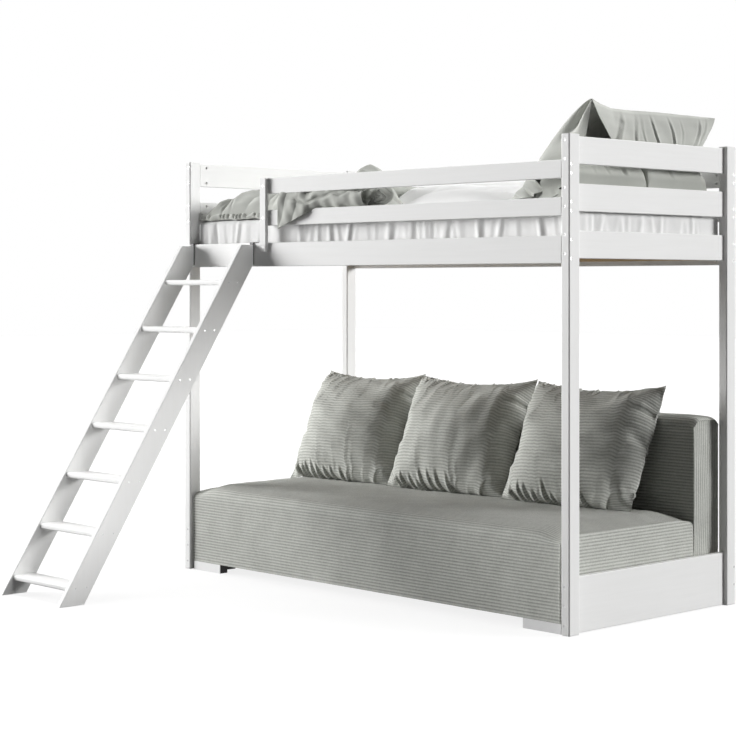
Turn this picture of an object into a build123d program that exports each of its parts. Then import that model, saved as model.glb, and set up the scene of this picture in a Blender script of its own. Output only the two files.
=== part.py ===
# A white loft bed on four tall posts, with a pull-out sofa bed standing between them,
# a leaning ladder hooked over the side rail, and a made-up mattress on the upper bunk.
#
# Working frame, in millimetres: X runs along the bed from the left post's outer face,
# Y from the front face of the posts to the back, Z up from the floor.
# The written parts are moved so that the origin is the centre of the whole object's
# footprint, on the floor.
import os
from math import cos, radians, tan

from build123d import *

# Bed frame, as long and as deep as its mattress and boards make it
mattress_length = 2000.0
mattress_width = 900.0
mattress_end_gap = 4.0
mattress_side_gap = 14.0
post_height = 1712.0
post_width = 37.0
post_depth = 56.0
post_rounding = 5.0
foot_rounding = 4.0
board_thickness = 22.0
board_easing = 2.5

# Long rails, upwards from the side rail
side_rail_bottom = 1270.0
wide_board = 95.0
guard_board = 63.0
first_guard_gap = 68.0
second_guard_gap = 65.0
guard_support_left = 498.0
guard_support_width = 36.0
guard_support_thickness = 15.0
guard_support_overlap = 37.0
lower_back_rail_bottom = 60.0

# End rails, downwards from the post top
end_recess = 14.0
end_top_drop = 6.0
end_rail_pitch = 162.0
end_panel_bottom = 3.0
end_panel_height = 194.0

# Fixings
bolt_radius = 3.0
bolt_head_radius = 4.7
bolt_head_height = 4.0
bolt_sink = 1.0
bolt_reach = 46.0
bolt_set_in = 22.0
bolt_clearance = 0.3
nut_radius = 5.0
nut_height = 12.0
nut_from_rail_end = 34.0
thread_clearance = 0.05
wide_bolt_share = 0.34
guard_bolt_share = 0.24
dowel_radius = 6.0
dowel_length = 90.0
dowel_spacing = 26.0
dowel_clearance = 0.15
screw_radius = 2.0
screw_head_radius = 3.6
screw_head_height = 2.6
screw_length = 45.0
short_screw_length = 26.0
screw_clearance = 0.15

# Bed base
bearer_bottom = 1288.5
bearer_side = 22.0
slat_count = 14
slat_width = 70.0
slat_thickness = 14.0
slat_end_clearance = 2.0

# Ladder
ladder_from_post = 8.0
ladder_width = 403.0
ladder_lean = 33.2
stile_width = 95.0
ladder_top = 1357.0
ladder_cut = 80.0
hook_thickness = 5.0
hook_clearance = 0.3
hook_wall = 3.0
hook_drop = 32.0
hook_plate_length = 78.0
hook_width = 20.0
tread_count = 7
tread_depth = 95.0
top_tread_height = 1205.0
tread_pitch = 190.3
tread_nose_rounding = 8.0
tread_screw_spacing = 49.0

# Sofa bed
sofa_side_gap = 11.0
seat_set_back = 12.0
seat_bottom = 36.0
seat_top = 360.0
seat_edge_top = 335.0
seat_shoulder = 110.0
seat_edge_rounding = 52.0
seat_end_top = 327.0
seat_end_rounding = 14.0
seat_crown_rounding = 220.0
pad_thickness = 18.0
seat_board = 18.0
deck_thickness = 15.0
seat_pad_thickness = 140.0
cloth_gap = 0.3
front_foot_width = 170.0
front_foot_depth = 40.0
foot_face_thickness = 3.0
rear_foot_side = 30.0
rear_foot_set_in = 20.0
glide_length = 40.0
glide_height = 18.0
glide_side_clearance = 3.0
base_clearance = 31.0
base_front = 110.0
base_top = 190.0
fold_support_from_front = 190.0
runner_side = 15.0
runner_bottom = 150.0
base_foot_side = 40.0

# Backrest
backrest_gap = 6.5
backrest_behind_gap = 23.5
backrest_thickness = 145.0
backrest_bottom = 205.0
backrest_top = 706.0
backrest_rounding = 35.0
backrest_board_margin = 40.0
hinge_radius = 5.0
hinge_pin_radius = 2.5
hinge_pin_clearance = 0.05
hinge_behind_face = 4.5
hinge_below_pad = 6.0
hinge_knuckle = 22.0
hinge_knuckle_gap = 0.4
hinge_leaf_thickness = 3.0
hinge_leaf_gap = 0.3
hinge_position_shares = (0.14, 0.5, 0.86)

# Loose cushions
cushion_height = 492.0
cushion_thickness = 185.0
cushion_seam = 12.0
cushion_draw = 22.0
cushion_lean = 22.0
cushion_turn = 4.0
cushion_start_gap = 60.0
cushion_left_gap = 30.0
cushion_first_gap = 2.0
cushion_second_gap = 42.0
cushion_right_gap = 146.0

# Bedding
mattress_height = 137.5
mattress_rounding = 26.0
bedding_gap = 0.3
blanket_end_margin = 6.0
blanket_length = 930.0
blanket_height = 190.0
blanket_side_margin = 6.0
flap_left = 603.0
flap_width = 196.0
flap_thickness = 9.0
flap_drop = 82.0
duvet_height = 78.0
duvet_side_gap = 16.0
duvet_left_gap = 12.0
duvet_right_gap = 123.7
duvet_edge = 14.0
lying_pillow_depth = 312.0
lying_pillow_height = 168.0
lying_pillow_seam = 16.0
lying_pillow_gap = 6.0
lying_pillow_side_gap = 18.0
leaning_pillow_width = 680.0
leaning_pillow_height = 480.0
leaning_pillow_thickness = 150.0
leaning_pillow_seam = 14.0
leaning_pillow_draw = 16.0
leaning_pillow_lean = 46.0
leaning_pillow_foot_gap = 428.0
leaning_pillow_rise = 70.0
leaning_pillow_turn = 3.0
leaning_pillow_back_gap = 52.4

# One overrun for every cut, and the steps in which a soft piece is set down
overrun = 10.0
settling_steps = 5

# Places that follow from the sizes above
bed_length = mattress_length + 2 * (mattress_end_gap + board_thickness + end_recess)
bed_depth = mattress_width + 2 * (mattress_side_gap + board_thickness)
rail_left = post_width
rail_right = bed_length - post_width
end_front = post_depth
end_back = bed_depth - post_depth
side_rail_top = side_rail_bottom + wide_board
lower_guard_bottom = side_rail_top + first_guard_gap
lower_guard_top = lower_guard_bottom + guard_board
upper_guard_bottom = lower_guard_top + second_guard_gap
upper_guard_top = upper_guard_bottom + guard_board
end_top_bottom = post_height - end_top_drop - wide_board
inner_front = board_thickness
inner_back = bed_depth - board_thickness
end_inner_left = end_recess + board_thickness
end_inner_right = bed_length - end_inner_left
slat_bottom = bearer_bottom + bearer_side
slat_top = slat_bottom + slat_thickness
lean = radians(ladder_lean)
stile_run = stile_width / cos(lean)
stile_back = -(hook_thickness + hook_clearance)
stile_left = post_width + ladder_from_post
stile_right = stile_left + ladder_width - board_thickness
ladder_reach = -stile_back + (ladder_top - ladder_cut) * tan(lean) + stile_run
seat_left = post_width + sofa_side_gap
seat_right = bed_length - seat_left
seat_front = seat_set_back
backrest_back = inner_back - backrest_behind_gap
backrest_front = backrest_back - backrest_thickness
seat_back = backrest_front - backrest_gap
deck_top = seat_top - seat_pad_thickness
deck_bottom = deck_top - deck_thickness
board_left = seat_left + pad_thickness
board_right = seat_right - pad_thickness
board_front = seat_front + pad_thickness
board_back = seat_back - pad_thickness
base_left = board_left + seat_board + base_clearance
base_right = bed_length - base_left
hinge_y = backrest_front + hinge_behind_face
hinge_z = backrest_bottom - hinge_below_pad
mattress_bottom = slat_top + bedding_gap
mattress_top = mattress_bottom + mattress_height
mattress_left = end_inner_left + mattress_end_gap
mattress_front = inner_front + mattress_side_gap
bedding_left = mattress_left + blanket_end_margin
duvet_left = bedding_left + blanket_length + duvet_left_gap
lying_pillow_right = end_inner_right - bedding_gap
lying_pillow_left = lying_pillow_right - lying_pillow_depth
duvet_right = lying_pillow_left - duvet_right_gap
cushion_gaps = cushion_left_gap + cushion_first_gap + cushion_second_gap + cushion_right_gap
cushion_width = (seat_right - seat_left - cushion_gaps) / 3
origin_x = bed_length / 2
origin_y = (bed_depth - ladder_reach) / 2


def slab(x_span, y_span, z_span):
    """A rectangular block between two corners."""
    spans = (x_span, y_span, z_span)
    size = [max(span) - min(span) for span in spans]
    centre = [(max(span) + min(span)) / 2 for span in spans]
    return Pos(*centre) * Box(*size)


def board(x_span, y_span, z_span, grain):
    """A planed board whose long edges are eased."""
    block = slab(x_span, y_span, z_span)
    return fillet(block.edges().filter_by(grain), board_easing)


def rod(start, direction, radius, length):
    """A round bar from a point, along an axis."""
    plane = Plane(origin=start, z_dir=direction)
    return plane * Cylinder(radius, length, align=(Align.CENTER, Align.CENTER, Align.MIN))


def group(solids):
    """Like pieces that share one node, as separate solids."""
    return Compound([piece for shape in solids for piece in shape.solids()])


def both(low, high):
    """A place at the left or front, and its mirror at the right or back."""
    return ((low, 1), (high, -1))


# Where each bolted board ends on a post: the bolt's start on the post's outer face,
# its direction, and the heights of its bolts.
def bolt_heights(bottom, height, share):
    """Two bolt heights, evenly above and below a board's middle."""
    middle = bottom + height / 2
    return [middle - height * share, middle + height * share]


def long_rail_joints():
    """The boards along the bed: bolted through the posts along X."""
    guards = bolt_heights(lower_guard_bottom, guard_board, guard_bolt_share)
    guards += bolt_heights(upper_guard_bottom, guard_board, guard_bolt_share)
    sides = bolt_heights(side_rail_bottom, wide_board, wide_bolt_share)
    low = bolt_heights(lower_back_rail_bottom, wide_board, wide_bolt_share)
    front_y = board_thickness / 2
    back_y = bed_depth - front_y
    joints = []
    for x, turn in both(0.0, bed_length):
        front_heights = sides + (guards if turn < 0 else [])
        joints += [((x, front_y, z), (turn, 0, 0), post_width) for z in front_heights]
        joints += [((x, back_y, z), (turn, 0, 0), post_width) for z in low + sides + guards]
    return joints


def end_rail_heights():
    """The bottoms of the three end rails, highest first."""
    return [end_top_bottom - step * end_rail_pitch for step in range(3)]


def end_rail_joints():
    """The end boards: bolted through the posts along Y."""
    heights = []
    for bottom in end_rail_heights():
        heights += bolt_heights(bottom, wide_board, wide_bolt_share)
    heights += bolt_heights(end_panel_bottom, end_panel_height, wide_bolt_share)
    heights.append(end_panel_bottom + end_panel_height / 2)
    joints = []
    for x, _ in both(bolt_set_in, bed_length - bolt_set_in):
        for y, turn in both(0.0, bed_depth):
            joints += [((x, y, z), (0, turn, 0), post_depth) for z in heights]
    return joints


def along(start, direction, distance):
    """A point some way along a direction."""
    return tuple(place + step * distance for place, step in zip(start, direction))


def bolt(start, direction, through):
    """A round-headed connecting bolt, its head just under the post's face."""
    head_start = along(start, direction, bolt_sink)
    shank_start = along(head_start, direction, bolt_head_height)
    shank_length = through + bolt_reach - bolt_sink - bolt_head_height
    head = rod(head_start, direction, bolt_head_radius, bolt_head_height)
    socket = rod(head_start, direction, bolt_head_radius / 2, bolt_head_height / 2)
    return head - socket + rod(shank_start, direction, bolt_radius, shank_length)


def bolt_hole(start, direction, through):
    """The hole and counterbore that a bolt passes through, from post into rail."""
    outside = along(start, direction, -overrun)
    sink_depth = overrun + bolt_sink + bolt_head_height
    sink = rod(outside, direction, bolt_head_radius + bolt_clearance, sink_depth)
    length = overrun + through + bolt_reach + bolt_clearance
    return sink + rod(outside, direction, bolt_radius + bolt_clearance, length)


def nut_place(start, direction, through):
    """The middle of the cross nut, inside the rail's end."""
    return along(start, direction, through + nut_from_rail_end)


def nut_axis(start, direction):
    """Across the rail, towards the inside of the bed."""
    if direction[0]:
        return (0, 1 if start[1] < bed_depth / 2 else -1, 0)
    return (1 if start[0] < bed_length / 2 else -1, 0, 0)


def nut_bar(joint, radius, extra):
    """The round bar of a cross nut or of its hole, open on the rail's inner face."""
    start, direction, through = joint
    axis = nut_axis(start, direction)
    middle = nut_place(start, direction, through)
    return rod(along(middle, axis, -nut_height / 2), axis, radius, nut_height + extra)


def cross_nut(joint):
    """A barrel nut with the bolt's threaded hole across it."""
    start, direction, through = joint
    hole = rod(start, direction, bolt_radius + thread_clearance, through + bolt_reach + overrun)
    return nut_bar(joint, nut_radius, 0) - hole


def drilled(shape, joints):
    """A post or rail with the holes of the bolts and nuts that meet it."""
    box = shape.bounding_box()
    for joint in joints:
        start, direction, through = joint
        for cutter in (bolt_hole(*joint), nut_bar(joint, nut_radius + bolt_clearance, overrun)):
            reach = cutter.bounding_box()
            apart = any(
                low > high
                for low, high in (
                    (reach.min.X, box.max.X), (box.min.X, reach.max.X),
                    (reach.min.Y, box.max.Y), (box.min.Y, reach.max.Y),
                    (reach.min.Z, box.max.Z), (box.min.Z, reach.max.Z),
                )
            )
            if not apart:
                shape = shape - cutter
    return shape


def post_corners():
    """The four posts by name, with the corner nearest the bed's outside."""
    return {
        "front_left": (0.0, 0.0),
        "front_right": (rail_right, 0.0),
        "back_left": (0.0, end_back),
        "back_right": (rail_right, end_back),
    }


def dowel_places():
    """Two dowels across each post's joint, spaced along its depth."""
    places = []
    for x, y in post_corners().values():
        middle = y + post_depth / 2
        for side in (-1, 1):
            places.append((x + post_width / 2, middle + side * dowel_spacing / 2))
    return places


def dowels(radius, length):
    """The round pins that line up the lower and upper posts, or their holes."""
    bottom = (post_height - length) / 2
    return [rod((x, y, bottom), (0, 0, 1), radius, length) for x, y in dowel_places()]


def posts(joints):
    """Each post is a lower and an upper length that meet at half height."""
    made = {}
    holes = dowels(dowel_radius + dowel_clearance, dowel_length + 2 * dowel_clearance)
    for index, (corner, (x, y)) in enumerate(post_corners().items()):
        sides = (x, x + post_width), (y, y + post_depth)
        for part, bottom in (("lower", 0.0), ("upper", post_height / 2)):
            post = slab(*sides, (bottom, bottom + post_height / 2))
            post = fillet(post.edges().filter_by(Axis.Z), post_rounding)
            if part == "lower":
                post = fillet(post.edges().group_by(Axis.Z)[0], foot_rounding)
            for hole in holes[2 * index:2 * index + 2]:
                post = post - hole
            made[f"{part}_post_{corner}"] = drilled(post, joints)
    return made


def long_rail(left, y, bottom, height, joints):
    """A board along the bed, flush with the posts."""
    rail = board((left, rail_right), (y, y + board_thickness), (bottom, bottom + height), Axis.X)
    return drilled(rail, joints)


def long_rails(joints):
    """Side rails, guard rails and the low rail at the back."""
    back = bed_depth - board_thickness
    rows = {
        "front_side_rail": (rail_left, 0.0, side_rail_bottom, wide_board),
        "back_side_rail": (rail_left, back, side_rail_bottom, wide_board),
        "front_lower_guard_rail": (guard_support_left, 0.0, lower_guard_bottom, guard_board),
        "front_upper_guard_rail": (guard_support_left, 0.0, upper_guard_bottom, guard_board),
        "back_lower_guard_rail": (rail_left, back, lower_guard_bottom, guard_board),
        "back_upper_guard_rail": (rail_left, back, upper_guard_bottom, guard_board),
        "lower_back_rail": (rail_left, back, lower_back_rail_bottom, wide_board),
    }
    return {name: long_rail(*row, joints) for name, row in rows.items()}


def guard_screw_places():
    """Screws through the guard support into the three rails behind it."""
    x = guard_support_left + guard_support_width / 2
    guards = [bottom + guard_board / 2 for bottom in (lower_guard_bottom, upper_guard_bottom)]
    return [(x, z) for z in [side_rail_top - guard_support_overlap / 2] + guards]


def countersunk_screw(start, direction, length):
    """A screw whose head lies flush in the wood."""
    shank = rod(start, direction, screw_radius, length)
    return shank + rod(start, direction, screw_head_radius, screw_head_height)


def screw_hole(start, direction, length):
    """The hole that a screw sits in."""
    outside = along(start, direction, -overrun)
    head = rod(outside, direction, screw_head_radius + screw_clearance,
               overrun + screw_head_height + screw_clearance)
    shank_length = overrun + length + screw_clearance
    return head + rod(outside, direction, screw_radius + screw_clearance, shank_length)


def guard_support():
    """The upright at the ladder opening that carries the guard rails' free ends."""
    bottom = side_rail_top - guard_support_overlap
    span = (guard_support_left, guard_support_left + guard_support_width)
    upright = board(span, (-guard_support_thickness, 0.0), (bottom, upper_guard_top), Axis.Z)
    screws = []
    holes = []
    for x, z in guard_screw_places():
        start = (x, -guard_support_thickness, z)
        screws.append(countersunk_screw(start, (0, 1, 0), short_screw_length))
        holes.append(screw_hole(start, (0, 1, 0), short_screw_length))
    return upright, screws, holes


def end_boards(joints):
    """Three rails and a low panel at each end, between the posts."""
    made = {}
    for side, x in (("left", end_recess), ("right", end_inner_right)):
        x_span = (x, x + board_thickness)
        for name, bottom in zip(("top", "middle", "low"), end_rail_heights()):
            rail = board(x_span, (end_front, end_back), (bottom, bottom + wide_board), Axis.Y)
            made[f"{side}_end_{name}_rail"] = drilled(rail, joints)
        z_span = (end_panel_bottom, end_panel_bottom + end_panel_height)
        panel = board(x_span, (end_front, end_back), z_span, Axis.Y)
        made[f"{side}_end_panel"] = drilled(panel, joints)
    return made


def slat_base():
    """Pine slats across the bed, on a bearer along each side rail."""
    z_span = (bearer_bottom, slat_bottom)
    x_span = (rail_left + slat_end_clearance, rail_right - slat_end_clearance)
    bearers = [
        board(x_span, (inner_front, inner_front + bearer_side), z_span, Axis.X),
        board(x_span, (inner_back - bearer_side, inner_back), z_span, Axis.X),
    ]
    first = x_span[0]
    pitch = (x_span[1] - first - slat_width) / (slat_count - 1)
    y_span = (inner_front + slat_end_clearance, inner_back - slat_end_clearance)
    slats = [
        board((first + i * pitch, first + i * pitch + slat_width), y_span, (slat_bottom, slat_top), Axis.Y)
        for i in range(slat_count)
    ]
    return group(bearers), group(slats)


def stile_line(z):
    """The Y of the stile's back edge at a height."""
    corner_z = ladder_top - ladder_cut
    return stile_back - (corner_z - z) * tan(lean)


def stile(x):
    """A ladder side: cut level at the floor and upright against the rail."""
    front_top = stile_line(ladder_top) - stile_run
    corner_z = ladder_top - ladder_cut
    outline = Polyline(
        (stile_line(0.0) - stile_run, 0.0),
        (stile_line(0.0), 0.0),
        (stile_back, corner_z),
        (stile_back, ladder_top),
        (front_top, ladder_top),
        close=True,
    )
    side = Plane(origin=(x, 0, 0), x_dir=(0, 1, 0), z_dir=(1, 0, 0)) * make_face(outline)
    solid = extrude(side, board_thickness, dir=(1, 0, 0))
    slanted = [edge for edge in solid.edges() if edge.length > stile_width + stile_run]
    return fillet(slanted, board_easing)


def tread_middle(index):
    """The middle of a tread's section, on the stile's centre line."""
    z = top_tread_height - index * tread_pitch
    return stile_line(z) - stile_run / 2, z


def tread(index):
    """A step between the stiles, its front edge rounded."""
    y, z = tread_middle(index)
    x_span = (stile_left + board_thickness, stile_right)
    z_span = (z - board_thickness / 2, z + board_thickness / 2)
    step = slab(x_span, (y - tread_depth / 2, y + tread_depth / 2), z_span)
    nose = step.edges().filter_by(Axis.X).group_by(Axis.Y)
    step = fillet(nose[0], tread_nose_rounding)
    return fillet(step.edges().filter_by(Axis.X).group_by(Axis.Y)[-1], board_easing)


def tread_screw_places():
    """Two screws through each stile into each tread's end."""
    places = []
    for index in range(tread_count):
        y, z = tread_middle(index)
        for side in (-1, 1):
            offset = y + side * tread_screw_spacing / 2
            places.append(((stile_left, offset, z), (1, 0, 0)))
            places.append(((stile_right + board_thickness, offset, z), (-1, 0, 0)))
    return places


def hook_screw_places():
    """Two screws through each hook plate into the stile's upright cut."""
    places = []
    for x in (stile_left, stile_right):
        for rise in (1, 3):
            z = ladder_top - hook_plate_length * rise / 4
            places.append(((x + board_thickness / 2, -hook_clearance, z), (0, -1, 0)))
    return places


def hook(x):
    """A steel hook: a plate on the stile's end, bent over the rail's top."""
    left = x + (board_thickness - hook_width) / 2
    x_span = (left, left + hook_width)
    top = side_rail_top + hook_clearance
    lip_front = board_thickness + hook_clearance
    plate = slab(x_span, (stile_back, -hook_clearance), (ladder_top - hook_plate_length, top + hook_wall))
    bridge = slab(x_span, (stile_back, lip_front + hook_wall), (top, top + hook_wall))
    lip = slab(x_span, (lip_front, lip_front + hook_wall), (side_rail_top - hook_drop, top + hook_wall))
    return plate + bridge + lip


def ladder():
    """Stiles, treads and hooks, with their screws."""
    stiles = {"ladder_stile_left": stile(stile_left), "ladder_stile_right": stile(stile_right)}
    treads = [tread(index) for index in range(tread_count)]
    hooks = [hook(x) for x in (stile_left, stile_right)]
    tread_screws = []
    for start, direction in tread_screw_places():
        hole = screw_hole(start, direction, screw_length)
        for name in stiles:
            near = (start[0] < (stile_left + stile_right) / 2) == (name == "ladder_stile_left")
            stiles[name] = stiles[name] - hole if near else stiles[name]
        index = min(range(tread_count), key=lambda step: abs(tread_middle(step)[1] - start[2]))
        treads[index] = treads[index] - hole
        tread_screws.append(countersunk_screw(start, direction, screw_length))
    hook_screws = []
    for number, (start, direction) in enumerate(hook_screw_places()):
        hole = screw_hole(start, direction, short_screw_length)
        name = ("ladder_stile_left", "ladder_stile_right")[number // 2]
        stiles[name] = stiles[name] - hole
        hooks[number // 2] = hooks[number // 2] - hole
        hook_screws.append(countersunk_screw(start, direction, short_screw_length))
    made = dict(stiles)
    made["ladder_treads"] = group(treads)
    made["ladder_hooks"] = group(hooks)
    made["tread_screws"] = group(tread_screws)
    made["hook_screws"] = group(hook_screws)
    return made


def softened(corners, radii):
    """A face through corners, each rounded by its own radius."""
    face = make_face(Polyline(*corners, close=True))
    for corner, radius in zip(corners, radii):
        if radius:
            face = fillet(face.vertices().sort_by_distance((*corner, 0))[0], radius)
    return face


def crowned_outline(low, high, edge_top, edge_rounding):
    """An upright box with a crowned top and softened upper edges, as a face."""
    corners = [
        (low, seat_bottom),
        (low, edge_top),
        (low + seat_shoulder, seat_top),
        (high - seat_shoulder, seat_top),
        (high, edge_top),
        (high, seat_bottom),
    ]
    radii = (0, edge_rounding, seat_crown_rounding, seat_crown_rounding, edge_rounding, 0)
    return softened(corners, radii)


def seat_form():
    """The upholstered seat's outer shape: crowned, soft at front and rear, seamed at its ends."""
    side = crowned_outline(seat_front, seat_back, seat_edge_top, seat_edge_rounding)
    end = crowned_outline(seat_left, seat_right, seat_end_top, seat_end_rounding)
    side_plane = Plane(origin=(seat_left - overrun, 0, 0), x_dir=(0, 1, 0), z_dir=(1, 0, 0))
    end_plane = Plane(origin=(0, seat_front - overrun, 0), x_dir=(1, 0, 0), z_dir=(0, -1, 0))
    along_bed = extrude(side_plane * side, seat_right - seat_left + 2 * overrun, dir=(1, 0, 0))
    across_bed = extrude(end_plane * end, seat_back - seat_front + 2 * overrun, dir=(0, 1, 0))
    return along_bed & across_bed


def seat():
    """The pull-out seat: a box of boards with foam and cord cloth round it."""
    form = seat_form()
    low = seat_bottom - overrun
    far_x = seat_right + overrun
    near_x = seat_left - overrun
    x_span = (near_x, far_x)
    near_y = seat_front - overrun
    upper_z = (deck_top + cloth_gap, seat_top + overrun)
    pad = form & slab(x_span, (near_y, seat_back + overrun), upper_z)
    z_span = (low, deck_top)
    front_pad = form & slab(x_span, (near_y, board_front - cloth_gap), z_span)
    y_span = (board_front, seat_back + overrun)
    left_pad = form & slab((near_x, board_left - cloth_gap), y_span, z_span)
    right_pad = form & slab((board_right + cloth_gap, far_x), y_span, z_span)
    board_z = (seat_bottom, deck_bottom)
    front_board = slab((board_left, board_right), (board_front, board_front + seat_board), board_z)
    side_y = (board_front + seat_board, board_back)
    left_board = slab((board_left, board_left + seat_board), side_y, board_z)
    right_board = slab((board_right - seat_board, board_right), side_y, board_z)
    deck = slab((board_left, board_right), (board_front, board_back), (deck_bottom, deck_top))
    return {
        "seat_pad": pad,
        "seat_side_pads": group([front_pad, left_pad, right_pad]),
        "seat_frame_boards": group([front_board, left_board, right_board]),
        "seat_deck": deck,
    }


def seat_feet():
    """Dark blocks under the seat, pale faces on the front pair, and side glides."""
    top = seat_bottom - cloth_gap
    block_y = (seat_front + foot_face_thickness, seat_front + front_foot_depth)
    blocks = []
    faces = []
    glides = []
    for x, turn in both(seat_left, seat_right):
        span = (x, x + turn * front_foot_width)
        blocks.append(slab(span, block_y, (0.0, top)))
        faces.append(slab(span, (seat_front, seat_front + foot_face_thickness), (0.0, top)))
        inner = x + turn * pad_thickness
        rear_y = (board_back - rear_foot_set_in - rear_foot_side, board_back - rear_foot_set_in)
        blocks.append(slab((inner, inner + turn * rear_foot_side), rear_y, (0.0, top)))
        glide_x = inner + turn * seat_board
        glide_z = runner_bottom + runner_side + cloth_gap
        glide_reach = turn * (base_clearance - glide_side_clearance)
        glide_y = (board_back - rear_foot_set_in - glide_length, board_back - rear_foot_set_in)
        glides.append(slab((glide_x, glide_x + glide_reach), glide_y, (glide_z, glide_z + glide_height)))
    return {
        "seat_feet": group(blocks),
        "seat_foot_faces": group(faces),
        "seat_glides": group(glides),
    }


def sofa_base():
    """The fixed frame inside the seat, which carries the backrest."""
    foot_top = seat_bottom
    sides = []
    runners = []
    feet = []
    for x, turn in both(base_left, base_right):
        span = (x, x + turn * seat_board)
        sides.append(slab(span, (base_front, inner_back), (foot_top, base_top)))
        strip = (x - turn * runner_side, x)
        runners.append(slab(strip, (base_front, inner_back), (runner_bottom, runner_bottom + runner_side)))
        for y in (base_front, inner_back - base_foot_side):
            feet.append(slab((x, x + turn * base_foot_side), (y, y + base_foot_side), (0.0, foot_top)))
    rail_x = (base_left + seat_board, base_right - seat_board)
    back_support = backrest_back - backrest_rounding
    fold_support = base_front + fold_support_from_front
    rails = [
        slab(rail_x, (base_front, base_front + seat_board), (foot_top, base_top)),
        slab(rail_x, (fold_support, fold_support + seat_board), (foot_top, base_top)),
        slab(rail_x, (hinge_y - seat_board / 2, hinge_y + seat_board / 2), (foot_top, base_top)),
        slab(rail_x, (back_support - seat_board, back_support), (foot_top, backrest_bottom - cloth_gap)),
    ]
    return {
        "base_rails": group(rails),
        "base_side_boards": group(sides),
        "base_runners": group(runners),
        "base_feet": group(feet),
    }


def backrest():
    """A padded panel with a board inside, open underneath for its hinges."""
    x_span = (seat_left, seat_right)
    form = slab(x_span, (backrest_front, backrest_back), (backrest_bottom, backrest_top))
    upright = form.edges().filter_by(Axis.Z)
    form = fillet(upright, backrest_rounding)
    form = fillet(form.edges().group_by(Axis.Z)[-1], backrest_rounding * 0.9)
    middle = (backrest_front + backrest_back) / 2
    inner_x = (seat_left + backrest_board_margin, seat_right - backrest_board_margin)
    inner_y = (middle - seat_board / 2, middle + seat_board / 2)
    panel = slab(inner_x, inner_y, (backrest_bottom, backrest_top - backrest_board_margin))
    slot = slab(
        (inner_x[0] - cloth_gap, inner_x[1] + cloth_gap),
        (inner_y[0] - cloth_gap, inner_y[1] + cloth_gap),
        (backrest_bottom - overrun, backrest_top - backrest_board_margin + cloth_gap),
    )
    return {"backrest_pad": form - slot, "backrest_board": panel}


def knuckle(x, radius):
    """One ring of a hinge, with its pin hole."""
    ring = rod((x, hinge_y, hinge_z), (1, 0, 0), radius, hinge_knuckle)
    hole_start = (x - overrun, hinge_y, hinge_z)
    hole_radius = hinge_pin_radius + hinge_pin_clearance
    return ring - rod(hole_start, (1, 0, 0), hole_radius, hinge_knuckle + 2 * overrun)


def hinges():
    """Three hinges at the backrest's lower front edge."""
    base_leaves = []
    back_leaves = []
    pins = []
    step = hinge_knuckle + hinge_knuckle_gap
    board_back_face = (backrest_front + backrest_back + seat_board) / 2
    plate_top = backrest_bottom - hinge_leaf_gap
    plate_front = hinge_y + hinge_radius + hinge_leaf_gap
    for share in hinge_position_shares:
        middle = seat_left + (seat_right - seat_left) * share
        x = middle - hinge_knuckle / 2
        span = (x, x + hinge_knuckle)
        pin_hole = rod((x - step - overrun, hinge_y, hinge_z), (1, 0, 0),
                       hinge_pin_radius + hinge_pin_clearance, 3 * step + 2 * overrun)
        web = slab(span, (hinge_y - hinge_pin_radius, hinge_y + hinge_pin_radius), (base_top, hinge_z))
        foot_y = (hinge_y - seat_board / 2, hinge_y + seat_board / 2)
        foot = slab(span, foot_y, (base_top, base_top + hinge_leaf_thickness))
        base_leaves.append(knuckle(x, hinge_radius) + web + foot - pin_hole)
        plate_z = (plate_top - hinge_leaf_thickness, plate_top)
        plate = slab((x - step, x + hinge_knuckle + step), (plate_front, board_back_face), plate_z)
        for start in (x - step, x + step):
            neck_z = (hinge_z + hinge_pin_radius, plate_top)
            neck = slab((start, start + hinge_knuckle), (hinge_y, plate_front), neck_z)
            plate = plate + (knuckle(start, hinge_radius) + neck - pin_hole)
        back_leaves.append(plate)
        pin_length = 3 * step - hinge_knuckle_gap
        pins.append(rod((x - step, hinge_y, hinge_z), (1, 0, 0), hinge_pin_radius, pin_length))
    return {
        "hinge_base_leaves": group(base_leaves),
        "hinge_back_leaves": group(back_leaves),
        "hinge_pins": group(pins),
    }


def pillow(width, height, thickness, seam, draw):
    """A stuffed cushion lying flat: crowned both ways, its sides pulled in between corners."""
    length_shares = (-0.5, -0.4, 0.0, 0.4, 0.5)
    crown_shares = (0.42, 0.78, 1.0, 0.78, 0.42)
    sections = []
    for place_share, crown_share in zip(length_shares, crown_shares):
        half = height / 2
        bulge = thickness * crown_share / 2
        outline = (
            Line((-half, -seam / 2), (-half, seam / 2))
            + ThreePointArc((-half, seam / 2), (0, bulge), (half, seam / 2))
            + Line((half, seam / 2), (half, -seam / 2))
            + ThreePointArc((half, -seam / 2), (0, -bulge), (-half, -seam / 2))
        )
        plane = Plane(origin=(width * place_share, 0, 0), x_dir=(0, 1, 0), z_dir=(1, 0, 0))
        sections.append(plane * make_face(outline))
    body = loft(sections)
    x, y = width / 2, height / 2
    sides = (
        ThreePointArc((-x, -y), (0, draw - y), (x, -y))
        + ThreePointArc((x, -y), (x - draw, 0), (x, y))
        + ThreePointArc((x, y), (0, y - draw), (-x, y))
        + ThreePointArc((-x, y), (draw - x, 0), (-x, -y))
    )
    cutter = extrude(Pos(0, 0, -thickness) * make_face(sides), 2 * thickness)
    return body & cutter


def settled(shape, support, direction):
    """A soft piece moved along a direction until it just meets what holds it."""
    for _ in range(settling_steps):
        gap = shape.distance_to(support) - cloth_gap
        shape = Pos(*(gap * share for share in direction)) * shape
    return shape


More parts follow.
